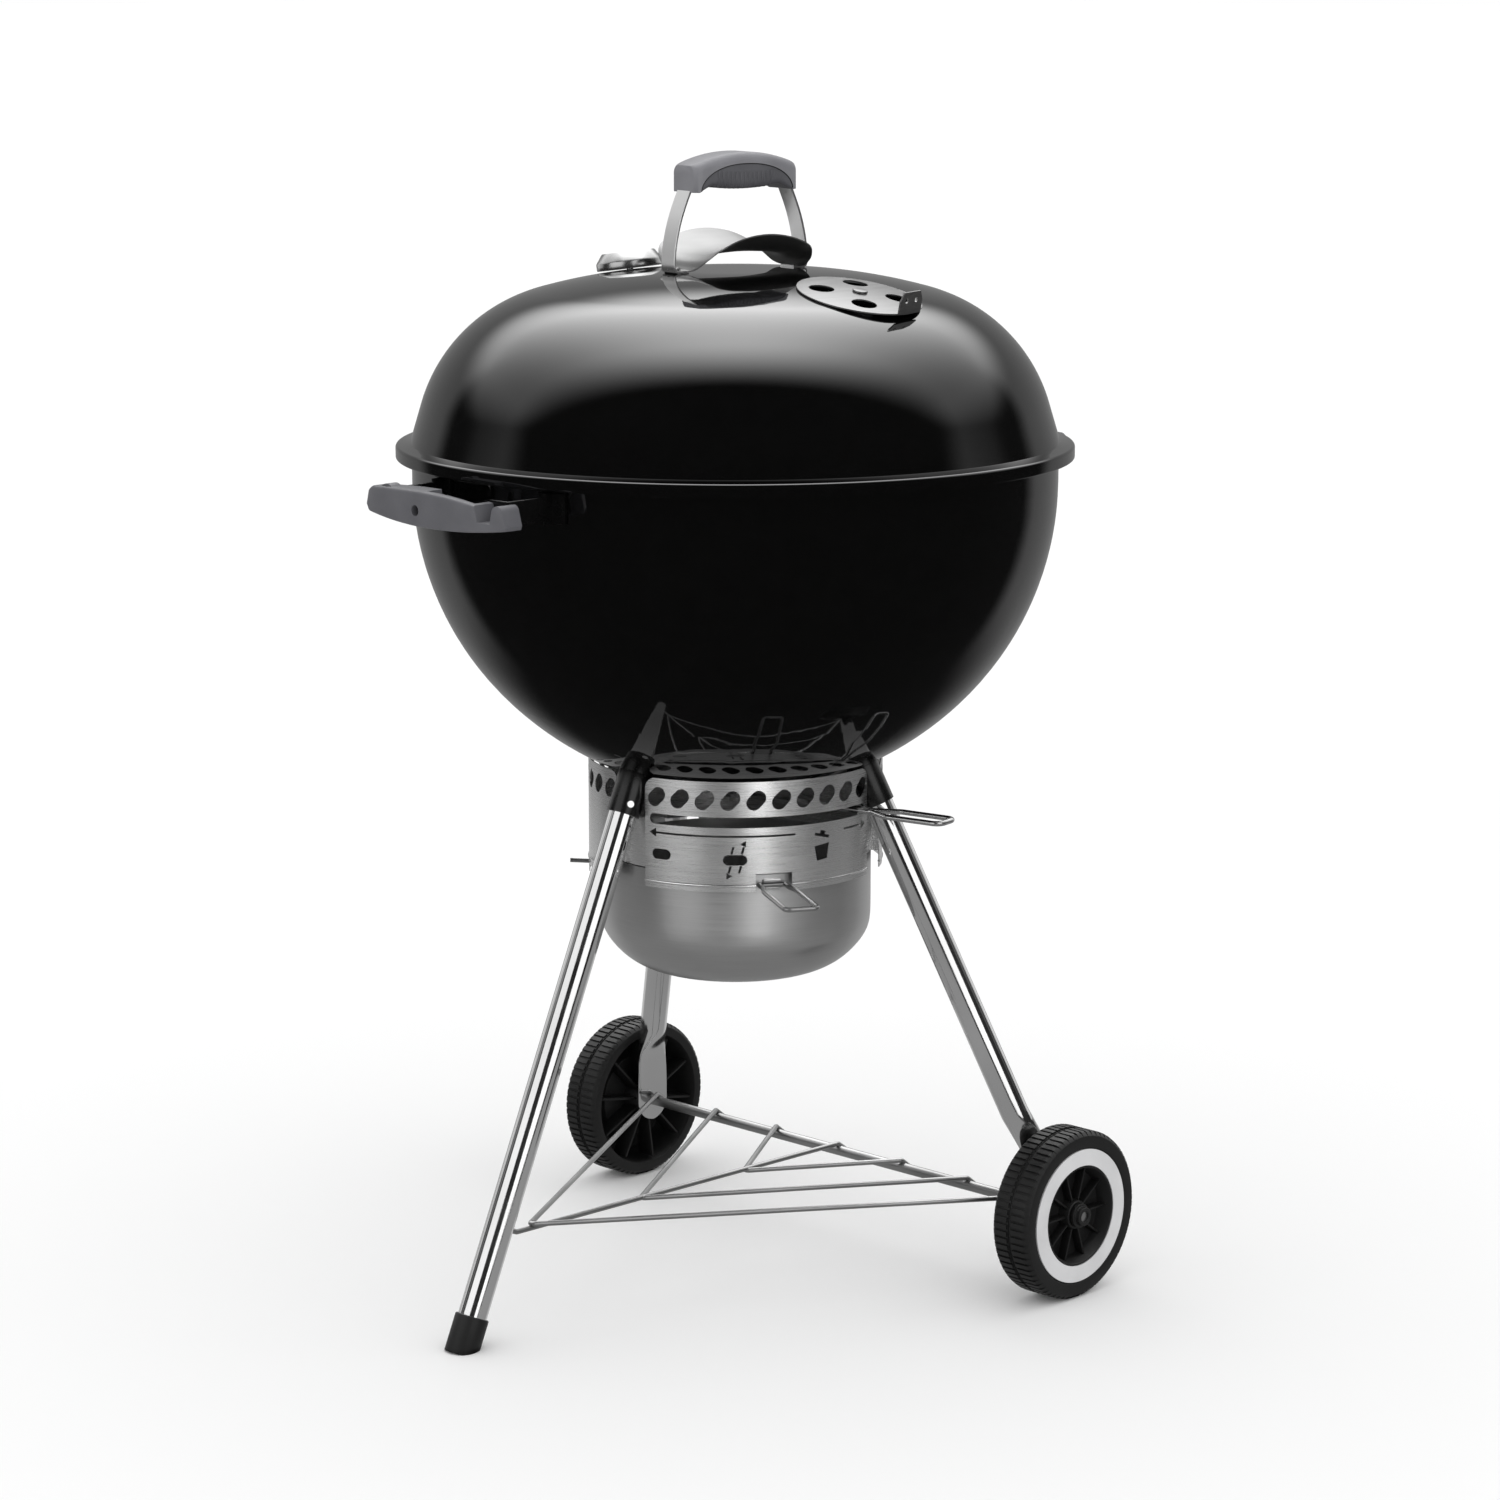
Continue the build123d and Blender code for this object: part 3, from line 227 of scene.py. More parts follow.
def satin_metal(name, low, high, rough):
    """Evenly finished metal with a very fine grain."""
    s = Surface(name, linear(high), rough, 1.0)
    v = s.coords()
    s.color(s.ramp(s.noise(v, 12, 2), (0.35, linear(low)), (0.68, linear(high))))
    haze = s.noise(s.coords((40, 40, 400)), 1, 2)
    s.rough(s.remap(haze, 0.3, 0.7, rough - 0.015, rough + 0.02))
    s.bump(s.noise(v, 1400, 3), 0.0000006)
    return s


def plastic(name, color, rough, grain=900, depth=0.00006, spread=5):
    """Moulded plastic with a fine texture and slightly uneven gloss."""
    s = Surface(name, linear(color), rough, Specular_IOR_Level=0.45)
    v = s.coords()
    low = tuple(c - spread for c in color)
    high = tuple(c + spread for c in color)
    s.color(s.ramp(s.noise(v, 25, 4), (0.3, linear(low)), (0.7, linear(high))))
    s.rough(s.remap(s.noise(v, 60, 4), 0.3, 0.7, rough - 0.05, rough + 0.06))
    s.bump(s.cells(v, grain), depth)
    return s


SLOT_LOOKS = {
    "enamel": enamel(),
    "black_steel": plastic("black_steel_paint", (8, 8, 8), 0.26, 500, 0.00002, 3),
    "chrome": chrome(),
    "zinc_wire": satin_metal("zinc_wire", 146, 168, 0.34),
    "plated_steel": satin_metal("plated_steel", 176, 186, 0.24),
    "stainless": brushed("brushed_stainless", 204, 218, 0.28, scale=(300, 3.0, 2600)),
    "aluminium": brushed("spun_aluminium", 176, 188, 0.36, scale=(900, 2.0, 1500)),
    "aluminium_disc": brushed("disc_aluminium", 118, 146, 0.34, scale=(900, 2.0, 900)),
    "grey_plastic": plastic("grey_grip", (104, 104, 108), 0.48),
    "black_plastic": plastic("black_moulding", (9, 9, 9), 0.52, spread=2),
    "ring_plastic": plastic("pale_ring", (176, 176, 177), 0.4),
    "dial_face": plastic("dial_white", (228, 228, 222), 0.55, 1500, 0.00001, 3),
    "needle": plastic("needle_paint", (40, 40, 40), 0.35, 1500, 0.00001, 3),
    "glass": Surface("gauge_glass_clear", (1, 1, 1, 1), 0.03, Transmission_Weight=1.0, IOR=1.45),
}

SIDE_GREY = plastic("side_grip_grey", (76, 76, 80), 0.46)
INSERT_GREY = plastic("insert_grey", (72, 72, 76), 0.55)
STRAP_METAL = satin_metal("strap_satin", 218, 226, 0.3)
SHIELD_METAL = satin_metal("shield_satin", 134, 144, 0.46)
NODES = frame["nodes"]
RECORD = frame["record"]
SLOT_OF = {p["node"]: p["material_slot"] for p in RECORD["subparts"]}
BODY_OF = {n: b for b, members in RECORD["behaviour"]["bodies"].items() for n in members}
for node, obj in NODES.items():
    for i in range(len(obj.data.materials)):
        obj.data.materials[i] = SLOT_LOOKS[SLOT_OF[node]].mat

# ------------------------------------------------------------------ mesh tools


def place(origin, x, y, z):
    """Matrix from local millimetres to the world: origin in mm, axes as unit vectors."""
    m = Matrix.Identity(4)
    for i, axis in enumerate((x, y, z)):
        for j in range(3):
            m[j][i] = axis[j] * MM
    for j in range(3):
        m[j][3] = origin[j] * MM
    return m


WORLD = place((0, 0, 0), (1, 0, 0), (0, 1, 0), (0, 0, 1))


def polar(r, az, z=0.0):
    """Point at a radius, azimuth in degrees and height."""
    return (r * cos(radians(az)), r * sin(radians(az)), z)


def crown(az, r, lift=0.0):
    """Frame tangent to the lid's crown: local x downhill, local z the outward normal."""
    t = asin((r - CROWN_OFF) / CROWN_R)
    z = CROWN_TOP - CROWN_R * (1 - cos(t))
    c, s = cos(radians(az)), sin(radians(az))
    n = Vector((sin(t) * c, sin(t) * s, cos(t)))
    x = Vector((cos(t) * c, cos(t) * s, -sin(t)))
    return place(Vector(polar(r, az, z)) + n * lift, x, n.cross(x), n)


def as_piece(name, mesh, look, body, replaces=(), angle=35):
    """Visible piece from a mesh, riding on a body in place of the CAD nodes it replaces."""
    obj = bpy.data.objects.new(name, mesh)
    scene.collection.objects.link(obj)
    mesh.materials.clear()
    mesh.materials.append(look.mat)
    mesh.shade_smooth()
    mesh.set_sharp_from_angle(angle=radians(angle))
    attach(obj, body)
    if replaces:
        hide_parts(*replaces)
    return obj


def stand_in(name, mesh, node, look=None, angle=35):
    """Piece that takes one CAD node's place, with that node's body, slot and usual look."""
    slot = SLOT_OF[node]
    return as_piece(name, mesh, look or SLOT_LOOKS[slot], BODY_OF[node], (node,), angle)


def mesh_of(verts, faces, matrix):
    """Mesh from local points, welded and with its normals facing out."""
    mesh = bpy.data.meshes.new("part")
    mesh.from_pydata([matrix @ Vector(v) for v in verts], [], faces)
    bm = bmesh.new()
    bm.from_mesh(mesh)
    bmesh.ops.remove_doubles(bm, verts=bm.verts, dist=2e-6)
    bmesh.ops.recalc_face_normals(bm, faces=bm.faces)
    bm.to_mesh(mesh)
    bm.free()
    return mesh


def join(meshes):
    bm = bmesh.new()
    for m in meshes:
        bm.from_mesh(m)
    out = bpy.data.meshes.new("part")
    bm.to_mesh(out)
    bm.free()
    return out


def baked(mesh, *modifiers):
    """Mesh with modifiers applied; each is (type, settings)."""
    obj = bpy.data.objects.new("bake", mesh)
    scene.collection.objects.link(obj)
    for kind, settings in modifiers:
        m = obj.modifiers.new(kind, kind)
        for key, value in settings.items():
            setattr(m, key, value)
    dg = bpy.context.evaluated_depsgraph_get()
    out = bpy.data.meshes.new_from_object(obj.evaluated_get(dg))
    bpy.data.objects.remove(obj)
    return out


def bevel(mesh, width, segments=3, angle=32):
    return baked(mesh, ("BEVEL", {"width": width * MM, "segments": segments,
                                  "limit_method": "ANGLE", "angle_limit": radians(angle)}))


def lathe(profile, matrix, segments=96):
    """Turn a closed (r, height) profile about the local z axis."""
    verts, faces, n = [], [], len(profile)
    for k in range(segments):
        a = 2 * pi * k / segments
        verts += [(r * cos(a), r * sin(a), h) for r, h in profile]
    for k in range(segments):
        for i in range(n):
            j, after = (i + 1) % n, (k + 1) % segments
            if profile[i][0] == 0 and profile[j][0] == 0:
                continue
            faces.append((k * n + i, k * n + j, after * n + j, after * n + i))
    mesh = mesh_of(verts, faces, matrix)
    bm = bmesh.new()
    bm.from_mesh(mesh)
    bmesh.ops.dissolve_degenerate(bm, dist=1e-7, edges=bm.edges)
    bm.to_mesh(mesh)
    bm.free()
    return mesh


def prism(outline, low, high, matrix):
    """Extrude a local xy outline between two heights."""
    n = len(outline)
    verts = [(x, y, low) for x, y in outline] + [(x, y, high) for x, y in outline]
    faces = [tuple(reversed(range(n))), tuple(range(n, 2 * n))]
    faces += [(i, (i + 1) % n, n + (i + 1) % n, n + i) for i in range(n)]
    return mesh_of(verts, faces, matrix)


def loft(sections, matrix):
    """Skin equal-length loops of 3-D points in order and close both ends."""
    n = len(sections[0])
    verts = [p for loop in sections for p in loop]
    faces = []
    for k in range(len(sections) - 1):
        for i in range(n):
            j = (i + 1) % n
            faces.append((k * n + i, k * n + j, (k + 1) * n + j, (k + 1) * n + i))
    faces.append(tuple(reversed(range(n))))
    faces.append(tuple(range((len(sections) - 1) * n, len(sections) * n)))
    return mesh_of(verts, faces, matrix)


def heading(pts, i):
    """Unit tangent of a polyline at point i."""
    return (pts[min(i + 1, len(pts) - 1)] - pts[max(i - 1, 0)]).normalized()


def tube(points, radius, matrix, sides):
    """Round wire through points, kept square to its path."""
    pts = [Vector(p) for p in points]
    loops = []
    for i, p in enumerate(pts):
        t = heading(pts, i)
        u = t.orthogonal().normalized() if i == 0 else (u - t * u.dot(t)).normalized()
        v = t.cross(u)
        turns = [2 * pi * k / sides for k in range(sides)]
        loops.append([tuple(p + (u * cos(a) + v * sin(a)) * radius) for a in turns])
    return loft(loops, matrix)


def softened(node, width, segments, look=None):
    """Stand-in for a CAD node with its hard edges rounded off."""
    src = NODES[node].data
    bm = bmesh.new()
    bm.from_mesh(src)
    bmesh.ops.remove_doubles(bm, verts=bm.verts, dist=4e-6)
    bmesh.ops.dissolve_limit(bm, angle_limit=radians(0.6), verts=bm.verts, edges=bm.edges)
    verts = [tuple(v.co) for v in bm.verts]
    bm.verts.index_update()
    faces = [tuple(v.index for v in f.verts) for f in bm.faces]
    bm.free()
    mesh = bpy.data.meshes.new(node)
    mesh.from_pydata(verts, [], faces)
    return stand_in("soft_" + node, bevel(mesh, width, segments), node, look)


# ------------------------------------------------------------------ rounded stand-ins

for node, width, segments in (
        ("side_grips", 0.9, 3), ("side_brackets", 0.5, 2), ("side_handle_screws", 0.6, 3),
        ("leg_sockets", 0.7, 3), ("leg_buttons", 0.5, 3), ("axle_caps", 0.9, 3),
        ("lid_handle_bolts", 0.5, 3), ("bucket_hinge", 0.4, 2), ("damper_rivet", 0.7, 3)):
    softened(node, width, segments, look={"side_grips": SIDE_GREY}.get(node))

# ------------------------------------------------------------------ lid


def swing(centre, radius, a0, a1, count):
    """Points along an arc from angle a0 to a1, in degrees."""
    turns = [radians(a0 + (a1 - a0) * k / count) for k in range(count + 1)]
    return [(centre[0] + radius * cos(a), centre[1] + radius * sin(a)) for a in turns]


def angle_to(centre, point):
    return degrees(atan2(point[1] - centre[1], point[0] - centre[0]))


# The outside: a short wall, a shoulder arc up to the knee, then the crown's arc.
WALL_LOW, WALL_HIGH = (285.4, 755.6), (276.2, 787.2)
SHOULDER_C, SHOULDER_R, KNEE = (136.8, 747.9), 144.87, (175.6, 887.4)
CROWN_C = (CROWN_OFF, CROWN_TOP - CROWN_R)


def lid_line(inset):
    """Lid profile from the foot of its wall to the axis, inset from the outer face."""
    a0, a1 = angle_to(SHOULDER_C, WALL_HIGH), angle_to(SHOULDER_C, KNEE)
    line = [(WALL_LOW[0] - inset, WALL_LOW[1] + 1.2)]
    line += swing(SHOULDER_C, SHOULDER_R - inset, a0, a1, 44)
    line += swing(CROWN_C, CROWN_R - inset, angle_to(CROWN_C, KNEE), 90, 24)[1:]
    return line + [(22.0, CROWN_TOP - inset), (0.0, CROWN_TOP - inset)]


flange = ([(WALL_LOW[0] + 0.1, 756.5), (WALL_LOW[0] + 1.6, 756.0), (294.6, 755.0)]
          + swing((295.9, 752.3), 2.5, 85, 0, 8)
          + [(298.4, 745.2)] + swing((297.1, 744.4), 1.3, 0, -90, 5)
          + [(296.8, 743.1), (296.8, 752.2), (296.0, 753.0), (WALL_LOW[0] - 1.5, 753.0)])
dome = lathe(lid_line(0)[::-1] + flange + lid_line(LID_SHEET), WORLD, 288)

# The four holes under the vent disc.
DAMPER = crown(-3.0, 155.0)
HOLE_RING, HOLE_R = 33, 11
cutters = []
for az in (53, 143, 233, 323):
    x, y, _ = polar(HOLE_RING, az)
    circle = [(x + HOLE_R * cos(radians(a)), y + HOLE_R * sin(radians(a)))
              for a in range(0, 360, 9)]
    cutters.append(prism(circle, -15, 15, DAMPER))
cutter = bpy.data.objects.new("cutter", join(cutters))
scene.collection.objects.link(cutter)
dome = baked(dome, ("BOOLEAN", {"operation": "DIFFERENCE", "solver": "EXACT", "object": cutter}))
bpy.data.objects.remove(cutter)
stand_in("lid_dome", dome, "lid_shell", angle=40)

# ------------------------------------------------------------------ lid handle

# In the handle's frame x runs along it, y is up and z is across.
HAND = radians(79.5)
ALONG = Vector((cos(HAND), sin(HAND), 0))
ACROSS = Vector((sin(HAND), -cos(HAND), 0))
HANDLE = place((0, 0, 0), ALONG, Vector((0, 0, 1)), ACROSS)
GRIP_END, GRIP_HALF, GRIP_TOP = 54.5, 19.0, 1007.6
SEAM_END, SEAM_LOW, SEAM_RISE = 48.5, 974.0, 23.5
INSERT_FLAT = 36.0


def grip_low(s):
    """Underside of the grey shell: the parting line against the ribbed insert."""
    e = min(1.0, abs(s) / SEAM_END)
    return SEAM_LOW + SEAM_RISE * sqrt(max(0.0, 1 - e ** 2.2))


def grip_loop(s):
    """Cross-section of the grip shell at s along the handle."""
    end = max(0.0, (abs(s) - 46.0) / 8.5)
    half = GRIP_HALF - 5.0 * (1 - sqrt(max(0.0, 1 - end * end)))
    top = GRIP_TOP - 10.6 * (s / GRIP_END) ** 2
    low = grip_low(s)
    r = 7.5
    loop = [(s, low, -half + 0.6), (s, low + 0.6, -half)]
    for k in range(9):
        a = radians(180 - 90 * k / 8)
        loop.append((s, top - r + r * sin(a), -half + r + r * cos(a)))
    for k in range(9):
        a = radians(90 - 90 * k / 8)
        loop.append((s, top - r + r * sin(a), half - r + r * cos(a)))
    return loop + [(s, low + 0.6, half), (s, low, half - 0.6)]


spots = [GRIP_END * sin(pi / 2 * (k / 36 - 1)) for k in range(73)]
grip = loft([grip_loop(s) for s in spots], HANDLE)
seam = []
for half in (-GRIP_HALF, GRIP_HALF):
    line = [(s, grip_low(s) + 0.25, half * 0.993) for s in
            (48.4 * sin(pi / 2 * k / 30) for k in range(-30, 31))]
    seam.append(tube(line, 0.42, HANDLE, 8))
as_piece("lid_grip_seam", join(seam), SLOT_LOOKS["black_plastic"], "lid", (),
         40)
stand_in("lid_grip_shell", grip, "lid_handle_grip", angle=40)


def insert_low(s):
    """Lowest height of the ribbed insert at s along the handle."""
    if abs(s) > INSERT_FLAT:
        return 979.3 - 5.0 * (abs(s) - INSERT_FLAT) / 12.5
    return 976.5 + 2.8 * (s / INSERT_FLAT) ** 2


def insert_loop(s):
    """Cross-section of the ribbed insert at s along the handle."""
    low, high = insert_low(s), grip_low(s) + 0.4
    half, r = 18.6, min(6.0, (high - low) * 0.45)
    loop = []
    for cx, a0 in ((-half + r, 180), (half - r, 270)):
        for k in range(7):
            a = radians(a0 + 90 * k / 6)
            loop.append((s, low + r + r * sin(a), cx + r * cos(a)))
    return loop + [(s, high, half), (s, high, -half)]


RIB_HALF = ((14, 18.3), (9, 18.5), (4, 17.9), (0.9, 14.8), (0.3, 8))
ribs = [loft([insert_loop(-48.0 + 96.0 * k / 48) for k in range(49)], HANDLE)]
for k in range(13):
    s = -30 + 4.6 * k
    low = insert_low(s)
    path = [(s, low + h, -w) for h, w in RIB_HALF] + [(s, low + h, w) for h, w in RIB_HALF[::-1]]
    ribs.append(tube(path, 1.2, HANDLE, 8))
stand_in("lid_grip_insert", join(ribs), "lid_handle_insert", INSERT_GREY, 40)

# ------------------------------------------------------------------ handle strap


def catmull(values, t):
    """Smooth curve through rows of values, at t rows from the first."""
    i = min(int(t), len(values) - 2)
    p = [values[max(0, min(len(values) - 1, i + d))] for d in (-1, 0, 1, 2)]
    f = t - i
    return [0.5 * (2 * b + (c - a) * f + (2 * a - 5 * b + 4 * c - d) * f * f
                   + (3 * b - a - 3 * c + d) * f ** 3) for a, b, c, d in zip(*p)]


FOOT = ((56.0, 905.85), (60.0, 905.65), (64.5, 905.45), (67.6, 905.6), (69.6, 906.6),
        (70.5, 908.6))
UPRIGHT = ((70.9, 904.4), (70.6, 912.0), (69.5, 925.6), (67.0, 938.6), (63.3, 951.6),
           (58.3, 964.6), (52.4, 977.6))
STRAP = ((-1, -9.5), (-0.75, -9.9), (0.75, -9.9), (1, -9.5), (1, 9.5), (0.75, 9.9),
         (-0.75, 9.9), (-1, 9.5))
straps = []
for sign in (-1, 1):
    path = list(FOOT)
    path += [tuple(catmull(UPRIGHT, 1 + (len(UPRIGHT) - 2) * k / 28)) for k in range(1, 29)]
    pts = [Vector((sign * s, z, 0)) for s, z in path]
    loops = []
    for i, p in enumerate(pts):
        t = heading(pts, i)
        n = Vector((-t.y, t.x, 0))
        loops.append([tuple(p + n * u + Vector((0, 0, w))) for u, w in STRAP])
    straps.append(loft(loops, HANDLE))
stand_in("lid_handle_strap_sweep", join(straps), "lid_handle_strap", STRAP_METAL, 30)

# ------------------------------------------------------------------ heat shield

# Along the handle: position, height at the middle, height at the edge, half width.
HALF_SHIELD = ((-69, 906.22, 906.2, 11), (-61, 906.22, 906.2, 14), (-58.5, 908.6, 908.8, 25),
               (-55, 914.5, 917, 38), (-46, 918.0, 926.5, 47), (-25, 920.0, 934.5, 48.5),
               (0, 921.0, 937.5, 49))
stations = list(HALF_SHIELD) + [(-s, c, e, w) for s, c, e, w in reversed(HALF_SHIELD[:-1])]
rows = []
for k in range(97):
    s, centre, edge, w = catmull(stations, k * (len(stations) - 1) / 96)
    top, low = [], []
    for j in range(33):
        u = -1 + 2 * j / 32
        z = centre + (edge - centre) * u * u
        top.append((s, z + 1.2, u * w))
        low.append((s, z, u * w))
    rows.append(top + low[::-1])
as_piece("lid_heat_shield", loft(rows, HANDLE), SHIELD_METAL, "lid", ("heat_shield",),
         50)

# ------------------------------------------------------------------ wheels

RIM = [(68, -20), (72, -20), (74.6, -17), (74.6, -1.6), (73.4, -1.4), (73.4, 1.4), (74.6, 1.6),
       (74.6, 17), (72, 20), (62, 20), (61.2, 18.5), (45.6, 18.5), (45, 19.6), (44, 20),
       (43.2, 19), (40, 5), (14, 5), (12.8, 15.4), (12, 16), (4.8, 16), (4.8, -20),
       (13.4, -20), (14, -19.2), (16, -1), (41, -1), (46.5, 14), (59, 14), (64, -20)]
LUGS, SPOKES = 72, 10
for side, node in ((1, "wheel_right"), (-1, "wheel_left")):
    hub = Vector((side * WHEEL_X, AXLE_Y, AXLE_Z))
    out = Vector((side, 0, 0))
    spin = place(hub, (0, 1, 0), out.cross(Vector((0, 1, 0))), out)
    parts = [bevel(lathe(RIM, spin, 120), 0.5, 2, 40)]

    def spoke(angle, outline, half):
        """Plate standing on the wheel's axis plane, outline in (radius, height)."""
        a = radians(angle)
        r = spin.to_3x3() @ Vector((cos(a), sin(a), 0)) / MM
        t = spin.to_3x3() @ Vector((-sin(a), cos(a), 0)) / MM
        return prism(outline, -half, half, place(hub, r, out, t))

    for k in range(SPOKES):
        outer = [(13, 4.5), (40.5, 4.5), (42.4, 13.5), (13, 13.5)]
        inner = [(14, -17.5), (61, -17.5), (61, 0.5), (14, 0.5)]
        parts.append(bevel(spoke(360 / SPOKES * k, outer, 0.9), 0.4, 2))
        parts.append(bevel(spoke(360 / SPOKES * k + 10, inner, 1.1), 0.4, 2))
    for row in (-1, 1):
        lug = [(74.2, row * 1.9), (76.1, row * 2.4), (76.1, row * 15.2), (75.3, row * 17.2),
               (72.2, row * 19.85), (70.8, row * 19.9), (71.5, row * 18)]
        for k in range(LUGS):
            parts.append(spoke(360 / LUGS * k + 1.25 * row, lug, 2.1))
    stand_in(BODY_OF[node] + "_moulding", join(parts), node)

# ------------------------------------------------------------------ thermometer

GAUGE = crown(-172.0, 116.0)
BEZEL_R, TICK_R = 28.9, 21.4
bezel = [(4, 0.9), (BEZEL_R, 0.9), (BEZEL_R + 0.4, 1.3), (BEZEL_R + 0.6, 2.0),
         (BEZEL_R + 0.6, 6.6), (BEZEL_R + 0.4, 7.3), (BEZEL_R - 0.1, 8.2),
         (BEZEL_R - 5.0, 15.1), (BEZEL_R - 5.6, 15.6), (BEZEL_R - 6.8, 15.6),
         (BEZEL_R - 7.2, 15.2), (BEZEL_R - 7.2, 12.4), (BEZEL_R - 6, 12.4),
         (BEZEL_R - 6, 6.0), (4, 6.0)]
as_piece("gauge_bezel_ring", lathe(bezel, GAUGE, 128), SLOT_LOOKS["plated_steel"], "lid",
         ("gauge_bezel",), 25)
face = lathe([(0, 6.0), (22.8, 6.0), (22.8, 6.9), (0, 6.9)], GAUGE, 96)
stand_in("gauge_face", face, "gauge_dial")
marks = []
for k in range(31):
    a = radians(225 - 9 * k)
    size, half = (3.4, 0.34) if k % 5 == 0 else (1.9, 0.18)
    c, s = cos(a), sin(a)
    quad = [(r * c + h * s, r * s - h * c) for r, h in
            ((TICK_R, -half), (TICK_R, half), (TICK_R - size, half), (TICK_R - size, -half))]
    marks.append(prism(quad, 6.88, 7.02, GAUGE))
for k, number in enumerate(("0", "50", "100", "150", "200", "250", "300")):
    a = radians(225 - 45 * k)
    text = bpy.data.curves.new("n", "FONT")
    text.body, text.size, text.extrude = number, 3.6, 0.07
    text.align_x, text.align_y = "CENTER", "CENTER"
    holder = bpy.data.objects.new("n", text)
    scene.collection.objects.link(holder)
    flat = bpy.data.meshes.new_from_object(
        holder.evaluated_get(bpy.context.evaluated_depsgraph_get()))
    bpy.data.objects.remove(holder)
    flat.transform(GAUGE @ Matrix.Translation((15.0 * cos(a), 15.0 * sin(a), 6.97)))
    marks.append(flat)
as_piece("gauge_marks", join(marks), SLOT_LOOKS["needle"], "lid", ())

# ------------------------------------------------------------------ front leg and its cap

leg_top, leg_end = Vector((0, -127.0, 471.0)), Vector((0, -322.4, 32.7))
down = (leg_end - leg_top).normalized()
LEG = place(leg_end, (1, 0, 0), down.cross(Vector((1, 0, 0))), down)
length = (leg_end - leg_top).length
front = lathe([(11.5, -length), (TUBE_R, -length), (TUBE_R, 20.0), (11.5, 20.0)], LEG, 96)
stand_in("front_leg_tube", front, "front_leg", angle=40)
cap = lathe([(0, 10.0), (12.75, 10.0), (12.75, 6.0), (14.0, 6.0), (14.7, 6.5), (14.9, 7.4),
             (14.9, 40.0), (0, 40.0)], LEG, 96)
# The cap is cut off level with the floor.
bm = bmesh.new()
bm.from_mesh(cap)
bmesh.ops.bisect_plane(bm, geom=bm.verts[:] + bm.edges[:] + bm.faces[:], dist=1e-7,
                       plane_co=(0, 0, 0), plane_no=(0, 0, -1), clear_outer=True)
bmesh.ops.holes_fill(bm, edges=[e for e in bm.edges if e.is_boundary])
bm.to_mesh(cap)
bm.free()
stand_in("front_foot_cap", bevel(cap, 0.8, 3), "foot_cap", angle=40)

# ------------------------------------------------------------------ rear legs

# Each is a round tube for ROUND_RUN, then drawn out to a flat plate that holds the axle.
ROUND_RUN = 338.0
PLATE_THIN, PLATE_WIDE = 1.5, 19.0
legs = []
for side in (1, -1):
    top = Vector((side * 113.1, 45.2, 470.0))
    end = Vector((side * 249.4, 135.2, 106.4))
    axis = (end - top).normalized()
    flat_n = Vector((side, 0, 0))
    u0 = (flat_n - axis * flat_n.dot(axis)).normalized()
    v0 = axis.cross(u0)
    flat_v = Vector((0, 1 if v0.y > 0 else -1, 0))
    loops = [(top + axis * (k * ROUND_RUN / 23), u0, v0, TUBE_R, TUBE_R) for k in range(24)]
    start = top + axis * ROUND_RUN
    for k in range(1, 15):
        f = k / 14
        e = f * f * (3 - 2 * f)
        loops.append((start.lerp(Vector((side * PLATE_X, 137.6, 118.0)), f),
                      u0.lerp(flat_n, e).normalized(), v0.lerp(flat_v, e).normalized(),
                      TUBE_R + (PLATE_THIN - TUBE_R) * e, TUBE_R + (18.0 - TUBE_R) * e))
    for z, w in ((108, 18.5), (98, 18.9), (88, PLATE_WIDE), (AXLE_Z, PLATE_WIDE)):
        loops.append((Vector((side * PLATE_X, AXLE_Y, z)), flat_n, flat_v, PLATE_THIN, w))
    for k in range(1, 9):
        a = radians(90 * k / 8)
        loops.append((Vector((side * PLATE_X, AXLE_Y, AXLE_Z - PLATE_WIDE * sin(a))), flat_n,
                      flat_v, PLATE_THIN, max(0.6, PLATE_WIDE * cos(a))))
    skin = []
    for c, u, v, a, b in loops:
        # 1 gives a round section, less gives flatter faces
        power = 0.55 + 0.45 * min(1.0, max(0.0, (a - PLATE_THIN) / (TUBE_R - PLATE_THIN)))
        ring = []
        for j in range(40):
            t = 2 * pi * j / 40
            cu = abs(cos(t)) ** power * (1 if cos(t) >= 0 else -1)
            ring.append(tuple(c + u * a * cu + v * b * sin(t)))
        skin.append(ring)
    legs.append(loft(skin, WORLD))
stand_in("rear_leg_tubes", join(legs), "rear_legs", angle=40)

# ------------------------------------------------------------------ stage

floor_mesh = bpy.data.meshes.new("floor")
FAR = 60.0
floor_mesh.from_pydata([(-FAR, -FAR, 0), (FAR, -FAR, 0), (FAR, FAR, 0), (-FAR, FAR, 0)], [],
                       [(0, 1, 2, 3)])
floor = bpy.data.objects.new("floor", floor_mesh)
scene.collection.objects.link(floor)
paper = Surface("floor_paper", (0.9, 0.9, 0.9, 1), 0.9, Specular_IOR_Level=0.0)
floor_mesh.materials.append(paper.mat)
floor.visible_glossy = False

cam = bpy.data.objects.new("camera", bpy.data.cameras.new("camera"))
cam.data.lens, cam.data.sensor_width = 99.48, 36.0
cam.data.clip_end = 300.0
cam.location = (2.5342, -2.6063, 1.1895)
cam.rotation_euler = Vector((-0.6816, 0.7060, -0.1923)).to_track_quat("-Z", "Y").to_euler()
scene.collection.objects.link(cam)
scene.camera = cam
scene.view_settings.view_transform = "Standard"

# The studio: white to the eye and to matt surfaces; gloss sees a dark room with a pale
# wall behind the object and a bright scrim overhead.
world = bpy.data.worlds.new("studio")
scene.world = world
world.use_nodes = True
wn, wl = world.node_tree.nodes, world.node_tree.links
wn.clear()


